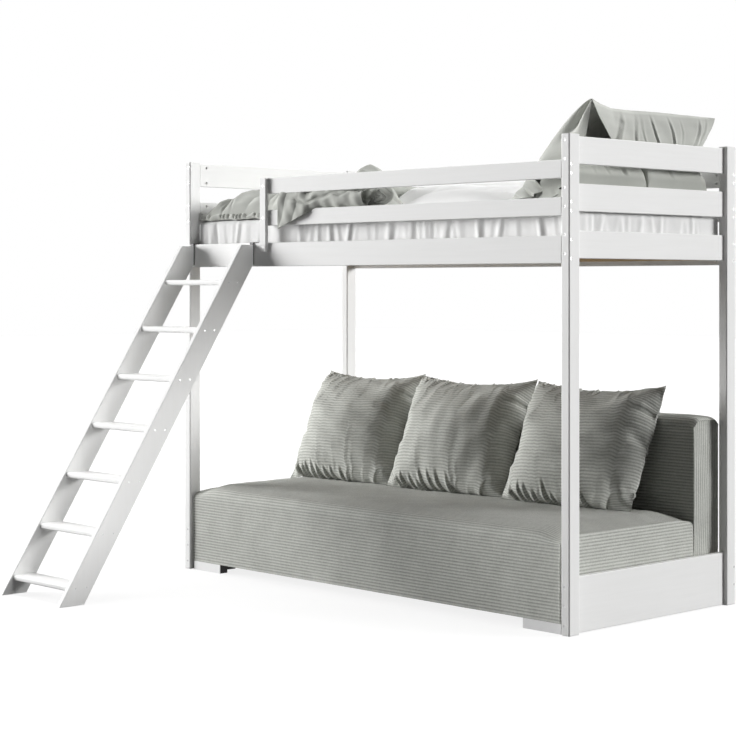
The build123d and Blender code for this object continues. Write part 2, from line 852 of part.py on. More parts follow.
def cushions(seat_pad, backrest_pad):
    """Three loose cushions that stand on the seat and lean on the backrest."""
    flat = pillow(cushion_width, cushion_height, cushion_thickness, cushion_seam, cushion_draw)
    leaning = Rot(0, 0, cushion_turn) * Rot(90 - cushion_lean, 0, 0) * flat
    box = leaning.bounding_box()
    z = seat_top + cushion_start_gap - box.min.Z
    y = backrest_front - cushion_start_gap - box.max.Y
    made = {}
    left = seat_left
    spaces = (cushion_left_gap, cushion_first_gap, cushion_second_gap)
    for name, space in zip(("left", "middle", "right"), spaces):
        left += space
        placed = Pos(left + cushion_width / 2, y, z) * leaning
        left += cushion_width
        standing = settled(placed, seat_pad, (0, 0, -1))
        made[f"cushion_{name}"] = settled(standing, backrest_pad, (0, 1, 0))
    return made


def mattress():
    """A foam mattress in a fitted sheet, its edges rounded."""
    x_span = (mattress_left, mattress_left + mattress_length)
    y_span = (mattress_front, mattress_front + mattress_width)
    block = slab(x_span, y_span, (mattress_bottom, mattress_top))
    block = fillet(block.edges().filter_by(Axis.Z), mattress_rounding)
    block = fillet(block.edges().group_by(Axis.Z)[-1], mattress_rounding * 0.8)
    return {"mattress": block}


def blanket_section(x, height, front_share, hump_share):
    """One cross-section of the heaped blanket: three soft folds over a flat base."""
    y0 = mattress_front + blanket_side_margin
    y1 = mattress_front + mattress_width - blanket_side_margin
    span = y1 - y0
    z0 = mattress_top + bedding_gap
    edge = height * front_share
    points = [
        (y0, z0 + edge * 0.6),
        (y0 + span * 0.30, z0 + height * 0.86),
        (y0 + span * 0.64, z0 + height * hump_share * 0.84),
        (y1, z0 + edge * 0.5),
    ]
    crests = [
        (y0 + span * 0.13, z0 + height * 0.98),
        (y0 + span * 0.47, z0 + height * hump_share),
        (y0 + span * 0.84, z0 + height * hump_share * 0.72),
    ]
    outline = Line((y0, z0), points[0])
    for start, crest, end in zip(points, crests, points[1:]):
        outline += ThreePointArc(start, crest, end)
    outline += Line(points[-1], (y1, z0))
    outline += Line((y1, z0), (y0, z0))
    plane = Plane(origin=(x, 0, 0), x_dir=(0, 1, 0), z_dir=(1, 0, 0))
    return plane * make_face(outline)


def blanket():
    """A folded blanket heaped at the foot end, one corner hanging over the guard rail."""
    length_shares = (0.0, 0.07, 0.24, 0.42, 0.62, 0.80, 0.92, 1.0)
    height_shares = (0.20, 0.42, 0.66, 0.60, 0.74, 0.84, 1.0, 0.34)
    sections = [
        blanket_section(bedding_left + blanket_length * place, blanket_height * tall, 0.45, 0.94)
        for place, tall in zip(length_shares, height_shares)
    ]
    heap = loft(sections)
    top = lower_guard_top + bedding_gap
    front = -bedding_gap
    flap_right = flap_left + flap_width
    bridge = slab(
        (flap_left, flap_right),
        (front - flap_thickness, mattress_front + blanket_side_margin + flap_thickness),
        (top, top + flap_thickness),
    )
    corner = Polyline(
        (flap_left, top + flap_thickness),
        (flap_right, top + flap_thickness),
        (flap_right, top),
        (flap_left + flap_thickness, lower_guard_top - flap_drop),
        (flap_left, lower_guard_top - flap_drop),
        close=True,
    )
    plane = Plane(origin=(0, front, 0), x_dir=(1, 0, 0), z_dir=(0, -1, 0))
    hanging = extrude(plane * make_face(corner), flap_thickness, dir=(0, -1, 0))
    return {"blanket": heap + bridge + hanging}


def duvet():
    """A plain quilt lying flat over the middle of the mattress, crowned, with thin edges."""
    bottom = mattress_top + bedding_gap
    middle = mattress_front + mattress_width / 2
    half = mattress_width / 2 - duvet_side_gap
    length_shares = (0.0, 0.12, 0.5, 0.88, 1.0)
    height_shares = (0.42, 0.86, 1.0, 0.8, 0.36)
    sections = []
    for place_share, height_share in zip(length_shares, height_shares):
        outline = (
            Line((middle - half, bottom), (middle - half, bottom + duvet_edge))
            + ThreePointArc(
                (middle - half, bottom + duvet_edge),
                (middle, bottom + duvet_height * height_share),
                (middle + half, bottom + duvet_edge),
            )
            + Line((middle + half, bottom + duvet_edge), (middle + half, bottom))
            + Line((middle + half, bottom), (middle - half, bottom))
        )
        x = duvet_left + (duvet_right - duvet_left) * place_share
        plane = Plane(origin=(x, 0, 0), x_dir=(0, 1, 0), z_dir=(1, 0, 0))
        sections.append(plane * make_face(outline))
    return {"duvet": loft(sections)}


def lying_pillow(front, back):
    """A pillow pressed against the end rails: blunt at the rail, thin towards the bed's middle."""
    left = lying_pillow_left
    right = lying_pillow_right
    bottom = mattress_top + bedding_gap
    crest = right - lying_pillow_depth * 0.32
    shoulder = right - lying_pillow_depth * 0.1
    length_shares = (0.0, 0.12, 0.5, 0.88, 1.0)
    height_shares = (0.62, 0.88, 1.0, 0.88, 0.62)
    sections = []
    for place_share, height_share in zip(length_shares, height_shares):
        high = bottom + lying_pillow_height * height_share
        blunt = bottom + (high - bottom) * 0.7
        outline = (
            Line((left, bottom), (left, bottom + lying_pillow_seam))
            + ThreePointArc(
                (left, bottom + lying_pillow_seam),
                ((left + crest) / 2, bottom + (high - bottom) * 0.72),
                (crest, high),
            )
            + ThreePointArc((crest, high), (shoulder, (high * 3 + blunt) / 4), (right, blunt))
            + Line((right, blunt), (right, bottom))
            + Line((right, bottom), (left, bottom))
        )
        y = front + (back - front) * place_share
        plane = Plane(origin=(0, y, 0), x_dir=(1, 0, 0), z_dir=(0, -1, 0))
        sections.append(plane * make_face(outline))
    return loft(sections)


def pillows():
    """Two pillows lying side by side, and one leaning on them and on the end rail."""
    front = mattress_front + lying_pillow_side_gap
    back = mattress_front + mattress_width - lying_pillow_side_gap
    half = (back - front - lying_pillow_gap) / 2
    lying = [lying_pillow(front, front + half), lying_pillow(back - half, back)]
    flat = pillow(
        leaning_pillow_width,
        leaning_pillow_height,
        leaning_pillow_thickness,
        leaning_pillow_seam,
        leaning_pillow_draw,
    )
    across = Rot(0, 0, 90) * flat
    raised = Rot(0, 0, -leaning_pillow_turn) * Rot(0, leaning_pillow_lean - 90, 0) * across
    box = raised.bounding_box()
    x = bed_length - leaning_pillow_foot_gap - box.min.X
    y = bed_depth - leaning_pillow_back_gap - box.max.Y
    z = mattress_top + leaning_pillow_rise - box.min.Z
    lying_pair = group(lying)
    leaning = settled(Pos(x, y, z) * raised, lying_pair, (0, 0, -1))
    return {"pillows_lying": lying_pair, "pillow_leaning": leaning}


def whole_bed():
    """Every piece of the bed, by name, in the working frame."""
    long_joints = long_rail_joints()
    end_joints = end_rail_joints()
    joints = long_joints + end_joints
    pieces = posts(joints)
    pieces["post_dowels"] = group(dowels(dowel_radius, dowel_length))
    pieces.update(long_rails(long_joints))
    upright, screws, holes = guard_support()
    for hole in holes:
        upright = upright - hole
        for name in ("front_side_rail", "front_lower_guard_rail", "front_upper_guard_rail"):
            pieces[name] = pieces[name] - hole
    pieces["guard_support"] = upright
    pieces["guard_screws"] = group(screws)
    pieces.update(end_boards(end_joints))
    pieces["frame_bolts"] = group([bolt(*joint) for joint in joints])
    pieces["cross_nuts"] = group([cross_nut(joint) for joint in joints])
    pieces["slat_bearers"], pieces["slats"] = slat_base()
    for section in (ladder, sofa_base, seat, seat_feet, backrest, hinges):
        pieces.update(section())
    pieces.update(cushions(pieces["seat_pad"], pieces["backrest_pad"]))
    for section in (mattress, blanket, duvet, pillows):
        pieces.update(section())
    return pieces


os.makedirs("parts", exist_ok=True)
home = Pos(-origin_x, -origin_y, 0)
for node, shape in whole_bed().items():
    export_step(home * shape, f"parts/{node}.step")
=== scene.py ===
import math

import bmesh
import bpy
import numpy as np
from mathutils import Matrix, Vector


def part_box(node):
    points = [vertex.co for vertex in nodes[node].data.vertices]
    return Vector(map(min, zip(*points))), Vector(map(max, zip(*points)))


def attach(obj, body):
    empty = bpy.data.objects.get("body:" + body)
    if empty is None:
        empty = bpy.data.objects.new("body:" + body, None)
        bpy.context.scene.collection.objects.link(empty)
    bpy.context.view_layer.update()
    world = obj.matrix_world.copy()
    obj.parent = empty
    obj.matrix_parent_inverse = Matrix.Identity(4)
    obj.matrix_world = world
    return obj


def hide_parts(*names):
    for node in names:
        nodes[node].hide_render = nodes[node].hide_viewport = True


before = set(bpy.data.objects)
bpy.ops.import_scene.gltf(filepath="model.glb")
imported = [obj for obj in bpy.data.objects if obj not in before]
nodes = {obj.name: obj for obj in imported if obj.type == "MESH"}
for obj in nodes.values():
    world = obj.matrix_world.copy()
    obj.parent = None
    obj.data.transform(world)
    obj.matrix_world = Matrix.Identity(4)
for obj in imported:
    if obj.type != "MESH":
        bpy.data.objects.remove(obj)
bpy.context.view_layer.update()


def wire(tree, value, socket):
    """Joins a socket to another one, or sets it to a plain value."""
    if isinstance(value, bpy.types.NodeSocket):
        tree.links.new(value, socket)
    else:
        socket.default_value = value


def add_node(tree, kind, settings=None, **inputs):
    """A shader node with its settings, its inputs set or joined by name."""
    node = tree.nodes.new("ShaderNode" + kind)
    for key, value in (settings or {}).items():
        setattr(node, key, value)
    for key, value in inputs.items():
        wire(tree, value, node.inputs[key.replace("_", " ")])
    return node


def add_math(tree, operation, *values):
    """The result of one sum on plain values or sockets."""
    node = add_node(tree, "Math", {"operation": operation})
    for value, socket in zip(values, node.inputs):
        wire(tree, value, socket)
    return node.outputs[0]


def add_noise(tree, place, scale, **inputs):
    """Noise over the object's own coordinates."""
    return add_node(tree, "TexNoise", Vector=place, Scale=scale, **inputs).outputs["Fac"]


def add_ramp(tree, factor, *stops):
    """A colour ramp with stops of (place, grey or colour)."""
    node = add_node(tree, "ValToRGB", Fac=factor)
    elements = node.color_ramp.elements
    while len(elements) < len(stops):
        elements.new(0.5)
    for element, (place, colour) in zip(elements, stops):
        element.position = place
        element.color = (*(colour if isinstance(colour, tuple) else (colour,) * 3), 1)
    return node.outputs["Color"]


def new_finish(name, **sockets):
    """A material, its node tree, its shader, and the object's own coordinates."""
    material = bpy.data.materials.new(name)
    material.use_nodes = True
    tree = material.node_tree
    shader = tree.nodes["Principled BSDF"]
    for key, value in sockets.items():
        shader.inputs[key.replace("_", " ")].default_value = value
    return material, tree, shader, add_node(tree, "TexCoord").outputs["Object"]


def lay_on(tree, shader, colour, rough=None, relief=None):
    """Joins a colour, a roughness (source, low, high) and a relief (source, strength, depth)."""
    tree.links.new(colour, shader.inputs["Base Color"])
    if rough:
        source, low, high = rough
        spread = add_node(tree, "MapRange", Value=source, To_Min=low, To_Max=high)
        tree.links.new(spread.outputs[0], shader.inputs["Roughness"])
    if relief:
        source, strength, depth = relief
        bump = add_node(tree, "Bump", Height=source, Strength=strength, Distance=depth)
        tree.links.new(bump.outputs["Normal"], shader.inputs["Normal"])


def grained_wood(name, axis, pale, deep, gloss, grain_depth, streak):
    """Planed wood whose grain runs along one axis, bare or lacquered."""
    material, tree, shader, place = new_finish(name, Specular_IOR_Level=0.18)
    stretch = [1.0 if axis == side else streak for side in range(3)]
    drawn = add_node(tree, "Mapping", Vector=place, Scale=stretch).outputs["Vector"]
    grain = add_noise(tree, drawn, 3.2, Detail=7.0, Roughness=0.62, Distortion=0.35)
    cloud = add_math(tree, "MULTIPLY", add_noise(tree, place, 2.3, Detail=2.0), 0.35)
    share = add_math(tree, "MULTIPLY_ADD", grain, 0.65, cloud)
    tone = add_ramp(tree, share, (0.34, deep), (0.62, pale))
    lay_on(tree, shader, tone, (grain, gloss - 0.05, gloss + 0.08), (grain, 0.35, grain_depth))
    return material


def dress(names, material):
    """Gives CAD pieces their finish."""
    for name in names:
        nodes[name].data.materials.clear()
        nodes[name].data.materials.append(material)


lacquer = {
    "pale": (0.862, 0.862, 0.856), "deep": (0.833, 0.833, 0.825),
    "gloss": 0.46, "grain_depth": 0.0006, "streak": 26.0,
}
lacquer_x, lacquer_y, lacquer_z = [
    grained_wood(f"white_lacquer_{letter}", axis, **lacquer) for axis, letter in enumerate("xyz")
]
beech = grained_wood(
    "beech_dowel", 2, (0.66, 0.47, 0.29), (0.50, 0.33, 0.19), gloss=0.55, grain_depth=0.0006, streak=18.0)
dress([name for name in nodes if "_post_" in name], lacquer_z)
dress(["post_dowels"], beech)


# Long boards: side rails, guard rails and the low back rail, flush with the posts' faces.
# White lacquered, with eased edges; their grain runs along the bed.
dress([name for name in nodes if name.endswith("_rail") and "_end_" not in name], lacquer_x)
dress(["guard_support"], lacquer_z)


# End boards: three rails and a low panel between the posts at each end of the bed.
# White lacquered like the rest, set back a little from the posts' outer faces.
dress([name for name in nodes if "_end_" in name], lacquer_y)


# Fixings: small round-headed bolts with cross nuts, and countersunk screws.
# Turned and rolled steel, zinc plated, with a fine mottle and a dull shine.
zinc, zinc_tree, zinc_shader, zinc_place = new_finish("zinc_plate", Metallic=1.0)
mottle = add_noise(zinc_tree, zinc_place, 420.0, Detail=4.0)
lay_on(zinc_tree, zinc_shader, add_ramp(zinc_tree, mottle, (0.35, 0.52), (0.7, 0.68)), (mottle, 0.28, 0.45))
dress(["frame_bolts", "cross_nuts", "guard_screws", "tread_screws"], zinc)


# Slatted base: pine slats across the bed on a bearer along each side rail.
# Bare planed pine, warm in tone, with straight grain.
pine = {"pale": (0.74, 0.56, 0.35), "gloss": 0.58, "grain_depth": 0.0008, "streak": 22.0}
dress(["slats"], grained_wood("pine_slat", 1, deep=(0.58, 0.39, 0.21), **pine))
dress(["slat_bearers"], grained_wood("pine_bearer", 0, deep=(0.60, 0.41, 0.23), **pine))


# Ladder: two slanted stiles with treads screwed between them, hung on steel hooks.
# White lacquered wood; the hooks are bent strip in satin black paint.
dress(["ladder_stile_left", "ladder_stile_right"], grained_wood("white_lacquer_ladder", 2, **lacquer))
dress(["ladder_treads"], lacquer_x)
black_paint, paint_tree, paint, paint_place = new_finish("black_hook_paint", Metallic=0.3)
paint_grit = add_noise(paint_tree, paint_place, 900.0, Detail=3.0)
paint_tone = add_ramp(paint_tree, paint_grit, (0.3, 0.012), (0.7, 0.03))
lay_on(paint_tree, paint, paint_tone, (paint_grit, 0.38, 0.55))
dress(["ladder_hooks", "hook_screws"], black_paint)


# Sofa carcass: the fixed base and the pull-out seat's boards, deck and runners, in sawn
# chipboard and softwood that the cloth hides. It has plated hinges, and stands on moulded
# feet with pale faces; the feet's near-black colour is painted shade from under the sofa.
raw_board = grained_wood(
    "raw_board", 0, (0.55, 0.42, 0.28), (0.40, 0.29, 0.18), gloss=0.75, grain_depth=0.0012, streak=9.0)
hidden_boards = ["base_rails", "base_side_boards", "base_runners", "seat_frame_boards", "seat_deck"]
dress(hidden_boards + ["backrest_board"], raw_board)


def moulded(name, dark, light, rough):
    """Moulded plastic with a fine spark-eroded texture."""
    material, tree, shader, place = new_finish(name, Roughness=rough)
    grit = add_noise(tree, place, 650.0, Detail=3.0)
    lay_on(tree, shader, add_ramp(tree, grit, (0.3, dark), (0.7, light)), relief=(grit, 0.3, 0.0003))
    return material


# The feet are near-black: painted shade, standing in for the shade under the sofa.
dress(["seat_feet", "base_feet"], moulded("foot_painted_shade", 0.012, 0.022, 0.6))
dress(["seat_foot_faces"], moulded("white_foot_face", 0.78, 0.84, 0.42))
dress(["seat_glides"], moulded("pale_glide", 0.60, 0.66, 0.35))
dress(["hinge_base_leaves", "hinge_back_leaves", "hinge_pins"], zinc)


# Seat upholstery: foam under wide-waled cord, one length of cloth from the front hem over
# the top to the rear, and a sewn-in panel at each end whose wales run level.
wale_pitch = 0.0115
wale_relief = 0.0011
wale_rows = 6


def cord_cloth(name, ground_and_groove_shade, middle, crest):
    """Wide-waled cord: pale pile on the wales and short brushed hairs; between the wales a darker weave,
    darkened further by painted shade in the grooves.
    """
    material, tree, shader, place = new_finish(
        name, Roughness=0.95, Specular_IOR_Level=0.2, Sheen_Weight=0.10, Sheen_Roughness=0.4)
    pile = add_noise(tree, place, 480.0, Detail=3.0, Roughness=0.6)
    tufts = add_noise(tree, place, 150.0, Detail=2.0, Roughness=0.5)
    brushed = add_noise(tree, place, 11.0, Detail=4.0, Roughness=0.6)
    # The wale value sets the colour from groove to wale top: partly the cloth's own weave and pile, partly
    # painted shade in the grooves.
    tone = add_node(tree, "Attribute", {"attribute_name": "wale"}).outputs["Fac"]
    for source, weight in ((pile, 0.45), (tufts, 0.75), (brushed, 0.60)):
        tone = add_math(tree, "MULTIPLY_ADD", source, weight, tone)
    share = add_node(tree, "MapRange", Value=tone, From_Min=0.45, From_Max=2.15).outputs[0]
    colour = add_ramp(tree, share, (0.0, ground_and_groove_shade), (0.5, middle), (1.0, crest))
    lay_on(tree, shader, colour, relief=(add_math(tree, "ADD", pile, tufts), 0.6, 0.0012))
    return material


def spaced(points, count=None, step=None):
    """Points evenly spaced along a line, and how far along it each one is."""
    lengths = np.concatenate([[0], np.cumsum(np.linalg.norm(np.diff(points, axis=0), axis=1))])
    even = np.linspace(0, lengths[-1], count or int(lengths[-1] / step) + 2)
    return np.stack([np.interp(even, lengths, points[:, side]) for side in range(2)], 1), even


def rounded_path(corners, radii, step):
    """Points at an even step along a path whose corners are rounded."""
    corners = [np.array(corner, float) for corner in corners]
    points = [corners[0]]
    for before, corner, after, radius in zip(corners, corners[1:], corners[2:], radii):
        back = (before - corner) / np.linalg.norm(before - corner)
        ahead = (after - corner) / np.linalg.norm(after - corner)
        half = math.acos(np.clip(back @ ahead, -1, 1)) / 2
        reach = radius / math.tan(half)
        start, end = corner + back * reach, corner + ahead * reach
        middle = (back + ahead) / np.linalg.norm(back + ahead)
        centre = corner + middle * radius / math.sin(half)
        for share in np.linspace(0, 1, 17):
            swing = (start - centre) * (1 - share) + (end - centre) * share
            points.append(centre + swing * radius / np.linalg.norm(swing))
    return spaced(np.array(points + [corners[-1]]), step=step)


def ripple(first, second, seed, lengths):
    """A soft random height over two coordinates, made of crossing waves."""
    rng = np.random.default_rng(seed)
    height = np.zeros(np.broadcast(first, second).shape)
    for length in lengths:
        turn, shift = rng.uniform(0, 2 * math.pi, 2)
        wave = (first * math.cos(turn) + second * math.sin(turn)) / length
        height = height + np.sin(2 * math.pi * wave + shift)
    return height / len(lengths)


def soft_step(value):
    """A smooth rise from 0 to 1."""
    share = np.clip(value, 0, 1)
    return share * share * (3 - 2 * share)


def sheet_normals(points):
    """Unit normals over a grid of points."""
    normal = np.cross(np.gradient(points, axis=1), np.gradient(points, axis=0))
    return normal / np.maximum(np.linalg.norm(normal, axis=2, keepdims=True), 1e-9)


def sheet_faces(rows, columns, first=0):
    """The quads of a grid of points, row by row."""
    corner = (np.arange(rows - 1)[:, None] * columns + np.arange(columns - 1)[None, :]).reshape(-1) + first
    return np.stack([corner, corner + 1, corner + columns + 1, corner + columns], 1)


def make_piece(name, vertices, faces, material, wale=None):
    """A smooth-shaded mesh piece, with the cloth's wales kept as a value on its points."""
    mesh = bpy.data.meshes.new(name)
    mesh.from_pydata(vertices.tolist(), [], faces.tolist())
    mesh.validate()
    mesh.polygons.foreach_set("use_smooth", [True] * len(mesh.polygons))
    mesh.materials.append(material)
    if wale is not None:
        mesh.attributes.new("wale", "FLOAT", "POINT").data.foreach_set("value", wale.astype(np.float32))
    piece = bpy.data.objects.new(name, mesh)
    bpy.context.scene.collection.objects.link(piece)
    return piece


def wale_profile(across):
    """How high the pile stands, from 0 in a groove to 1 on a wale, at a distance over the cloth."""
    return (0.5 - 0.5 * np.cos(2 * math.pi * across / wale_pitch)) ** 0.6


def waled(points, across, outward=1.0):
    """Raises the wales on a grid of points: across is the distance over the cloth."""
    wale = wale_profile(across)
    return points + sheet_normals(points) * ((wale - 1) * wale_relief * outward)[:, :, None], wale


def joined(grids):
    """Several grids of (points, wale) as one list of vertices, faces and wale values."""
    vertices, faces, wales = [], [], []
    count = 0
    for points, wale in grids:
        vertices.append(points.reshape(-1, 3))
        faces.append(sheet_faces(points.shape[0], points.shape[1], count))
        wales.append(np.broadcast_to(wale, points.shape[:2]).reshape(-1))
        count += points.shape[0] * points.shape[1]
    return np.concatenate(vertices), np.concatenate(faces), np.concatenate(wales)


def upholstered(path, across, low, high, crown_base, end_drop, corner, seed, bulge):
    """Cord cloth over foam: a profile drawn along the sofa, softly uneven, lower at its ends."""
    seam_shares = (1 - np.cos(np.linspace(0, math.pi / 2, 5)))[:-1]
    start, end = low + 0.001, high - 0.001
    x = np.concatenate([start + rim * seam_shares, np.linspace(start + rim, end - rim, 110),
                        (end - rim * seam_shares)[::-1]])
    away = np.minimum(x - low, high - x)
    y = np.broadcast_to(path[:, 0][:, None], (len(path), len(x))).copy()
    z = np.broadcast_to(path[:, 1][:, None], y.shape).copy()
    top = path[:, 1].max()
    z = z - np.maximum(z - crown_base, 0) * (end_drop * (1 - soft_step(away / 0.125)))[None, :]
    nick = corner - np.sqrt(np.maximum(corner ** 2 - np.maximum(corner - away, 0) ** 2, 0))
    z = z - nick[None, :] * soft_step((path[:, 1] - top + 0.05) / 0.04)[:, None]
    grid = np.stack([np.broadcast_to(x[None, :], y.shape), y, z], 2)
    curl = np.clip(1 - away / rim, 0, 1)
    tuck = 0.007 * (1 - np.sqrt(1 - curl ** 2))
    run = across[:, None] + 0 * y
    uneven = bulge * ripple(grid[:, :, 0], run, seed, (0.9, 0.5, 0.34, 0.23, 0.17, 0.11))
    lift = uneven * (1 - curl ** 2)[None, :] - tuck[None, :]
    return waled(grid + sheet_normals(grid) * (lift * facing_out)[:, :, None], run, facing_out)


def end_panel(grid, column, facing, level, low_z):
    """A sewn-in end panel inside the cloth's rim; its wales run level or upright."""
    rim_line = grid[:, column, :]
    fine, coarse = wale_pitch / wale_rows, 0.012
    y_low, y_high = rim_line[:, 1].min() + 0.001, rim_line[:, 1].max() - 0.001
    y = np.linspace(y_low, y_high, int((y_high - y_low) / (coarse if level else fine)) + 2)
    z_top = np.array([rim_line[np.abs(rim_line[:, 1] - place) < 0.004, 2].max() for place in y]) - 0.001
    rows = int((z_top.max() - low_z) / (fine if level else coarse)) + 2
    share = np.linspace(0, 1, rows)
    z = low_z + (z_top[None, :] - low_z) * share[:, None]
    wide = np.broadcast_to(y[None, :], z.shape)
    wide_share = (wide - y_low) / (y_high - y_low)
    swell = 0.004 * np.sin(math.pi * share)[:, None] * np.sin(math.pi * wide_share) ** 0.5
    swell = swell + 0.0012 * ripple(wide, z, 17 + column, (0.3, 0.19, 0.12, 0.08))
    panel = np.stack([rim_line[:, 0].mean() + facing * (swell - 0.001), wide, z], 2)
    turn = 1.0 if sheet_normals(panel)[rows // 2, len(y) // 2, 0] * facing > 0 else -1.0
    return waled(panel, z if level else wide, turn)


cord = cord_cloth("grey_cord", (0.205, 0.210, 0.192), (0.452, 0.460, 0.428), (0.660, 0.670, 0.632))
facing_out = -1.0
rim = 0.010
seat_low = Vector(map(min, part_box("seat_pad")[0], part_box("seat_side_pads")[0]))
seat_high = Vector(map(max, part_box("seat_pad")[1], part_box("seat_side_pads")[1]))
front, rear, hem, top = seat_low.y, seat_high.y, seat_low.z, seat_high.z
seat_corners = [
    (front, hem), (front, top - 0.022), (front + 0.10, top),
    (rear - 0.11, top), (rear, top - 0.024), (rear, 0.215),
]
seat_path, seat_across = rounded_path(seat_corners, (0.046, 0.20, 0.20, 0.050), wale_pitch / wale_rows)
seat_cloth = [upholstered(
    seat_path, seat_across, seat_low.x, seat_high.x,
    crown_base=0.30, end_drop=0.50, corner=0.0001, seed=3, bulge=0.0024)]
seat_cloth.append(end_panel(seat_cloth[0][0], 0, -1, True, hem))
seat_cloth.append(end_panel(seat_cloth[0][0], -1, 1, True, hem))
vertices, faces, wales = joined(seat_cloth)
seat_cover = make_piece("seat_cover", vertices, faces, cord, wales)
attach(seat_cover, "seat")
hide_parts("seat_pad", "seat_side_pads")


# Backrest upholstery: a padded panel hinged at its lower front edge, wrapped in the same
# cord with level wales on the front and back and upright wales on its ends.
back_low, back_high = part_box("backrest_pad")
back_corners = [
    (back_low.y, back_low.z + 0.0045), (back_low.y, back_high.z),
    (back_high.y, back_high.z), (back_high.y, back_low.z),
]
back_path, back_across = rounded_path(back_corners, (0.034, 0.034), wale_pitch / wale_rows)
back_cloth = [upholstered(
    back_path, back_across, back_low.x, back_high.x,
    crown_base=0.66, end_drop=0.05, corner=0.020, seed=8, bulge=0.0020)]
end_hem = back_low.z - 0.014
back_cloth.append(end_panel(back_cloth[0][0], 0, -1, False, end_hem))
back_cloth.append(end_panel(back_cloth[0][0], -1, 1, False, end_hem))
vertices, faces, wales = joined(back_cloth)
backrest_cover = make_piece("backrest_cover", vertices, faces, cord, wales)
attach(backrest_cover, "backrest")
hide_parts("backrest_pad")


# Back cushions: two panels of cord sewn together along their edges and stuffed, so that
# the middle swells, the sides draw in, and the cloth gathers in pleats where it rests.
cushion_size = np.array((0.588, 0.492, 0.185))
cushion_lean, cushion_turn = math.radians(22), math.radians(4)


def seamed_sheets(width, height, columns, rows, rise):
    """Two flat sheets with one shared edge, a little apart in the middle."""
    across_share = np.linspace(-0.5, 0.5, columns)
    up_share = np.linspace(-0.5, 0.5, rows)
    across, up = np.meshgrid(across_share * width, up_share * height)
    swell = rise * (np.cos(math.pi * across_share)[None, :] * np.cos(math.pi * up_share)[:, None])
    edge = np.ones((rows, columns), bool)
    edge[1:-1, 1:-1] = False
    face = np.arange(rows * columns).reshape(rows, columns)
    back = face.copy()
    back[~edge] = rows * columns + np.arange((~edge).sum())
    vertices = np.concatenate([
        np.stack([across, up, swell], 2).reshape(-1, 3),
        np.stack([across, up, -swell], 2)[~edge],
    ])
    quads = []
    for index, flip in ((face, False), (back, True)):
        quad = np.stack([index[:-1, :-1], index[:-1, 1:], index[1:, 1:], index[1:, :-1]], 2).reshape(-1, 4)
        quads.append(quad[:, ::-1] if flip else quad)
    return vertices, np.concatenate(quads), face, back


def stuffed(width, height, columns, rows, pressure, frames, seed, cap):
    """Both faces of a stuffed cushion as grids, swollen by a cloth simulation up to a cap."""
    vertices, quads, face, back = seamed_sheets(width, height, columns, rows, 0.006)
    start = vertices.copy()
    vertices[:, 2] += np.random.default_rng(seed).normal(0, 0.0008, len(vertices))
    mesh = bpy.data.meshes.new("stuffing_trial")
    mesh.from_pydata(vertices.tolist(), [], quads.tolist())
    trial = bpy.data.objects.new("stuffing_trial", mesh)
    bpy.context.scene.collection.objects.link(trial)
    cloth = trial.modifiers.new("cloth", "CLOTH")
    settings = cloth.settings
    settings.quality = 6
    settings.mass = 0.25
    settings.tension_stiffness = settings.compression_stiffness = 18
    settings.shear_stiffness = 6
    settings.bending_stiffness = 0.6
    settings.use_pressure = True
    settings.uniform_pressure_force = pressure
    settings.effector_weights.gravity = 0
    cloth.collision_settings.use_collision = False
    cloth.point_cache.frame_start = 1
    cloth.point_cache.frame_end = frames
    for number in range(1, frames + 1):
        bpy.context.scene.frame_set(number)
    shaped = trial.evaluated_get(bpy.context.evaluated_depsgraph_get()).to_mesh()
    moved = np.empty(len(vertices) * 3)
    shaped.vertices.foreach_get("co", moved)
    shift = moved.reshape(-1, 3) - start
    far = np.linalg.norm(shift, axis=1, keepdims=True)
    moved = start + shift * np.minimum(1, cap / np.maximum(far, 1e-9))
    bpy.data.objects.remove(trial)
    bpy.context.scene.frame_set(1)
    return moved[face], moved[back]


def finer(grid, rows, columns):
    """A grid of points drawn finer along smooth curves through its points."""
    for axis, count in ((0, rows), (1, columns)):
        grid = np.moveaxis(grid, axis, 0)
        place = np.linspace(0, len(grid) - 1, count)
        first = np.clip(place.astype(int), 0, len(grid) - 2)
        way = (place - first).reshape(-1, 1, 1)
        before, start, end = grid[np.maximum(first - 1, 0)], grid[first], grid[first + 1]
        after = grid[np.minimum(first + 2, len(grid) - 1)]
        bend = 2 * before - 5 * start + 4 * end - after
        twist = 3 * start - before - 3 * end + after
        curve = (2 * start + (end - before) * way + bend * way ** 2 + twist * way ** 3) / 2
        grid = np.moveaxis(curve, 0, axis)
    return grid


def smoothed(grid, times):
    """A grid of points evened out inside its border."""
    for _ in range(times):
        grid = grid.copy()
        around = grid[:-2, 1:-1] + grid[2:, 1:-1] + grid[1:-1, :-2] + grid[1:-1, 2:]
        grid[1:-1, 1:-1] = 0.5 * grid[1:-1, 1:-1] + 0.125 * around
    return grid


def fitted(faces, size):
    """Two faces of a cushion scaled to its full size about its middle."""
    points = np.concatenate([face.reshape(-1, 3) for face in faces])
    low, high = points.min(0), points.max(0)
    return [(face - (low + high) / 2) * (np.array(size) / (high - low)) for face in faces]


def pleats(across, from_seam, folds):
    """Gathers that rise from a seam: each is (place, sway, reach, breadth, height)."""
    height = np.zeros(np.broadcast(across, from_seam).shape)
    for place, sway, reach, breadth, tall in folds:
        off = (across - place - sway * np.exp(-from_seam / (0.45 * reach))) / breadth
        fade = 1 - soft_step((from_seam - 0.35 * reach) / (0.75 * reach))
        height = height + tall * fade * (np.exp(-off ** 2) - 1.1 * np.exp(-((off - 1.25) / 0.7) ** 2))
    return height


def close_seam(piece):
    """Welds the shared edge of a piece's two faces and turns its faces outward."""
    cloth = bmesh.new()
    cloth.from_mesh(piece.data)
    bmesh.ops.remove_doubles(cloth, verts=cloth.verts, dist=0.00025)
    bmesh.ops.recalc_face_normals(cloth, faces=cloth.faces)
    cloth.to_mesh(piece.data)
    cloth.free()
    piece.data.polygons.foreach_set("use_smooth", [True] * len(piece.data.polygons))


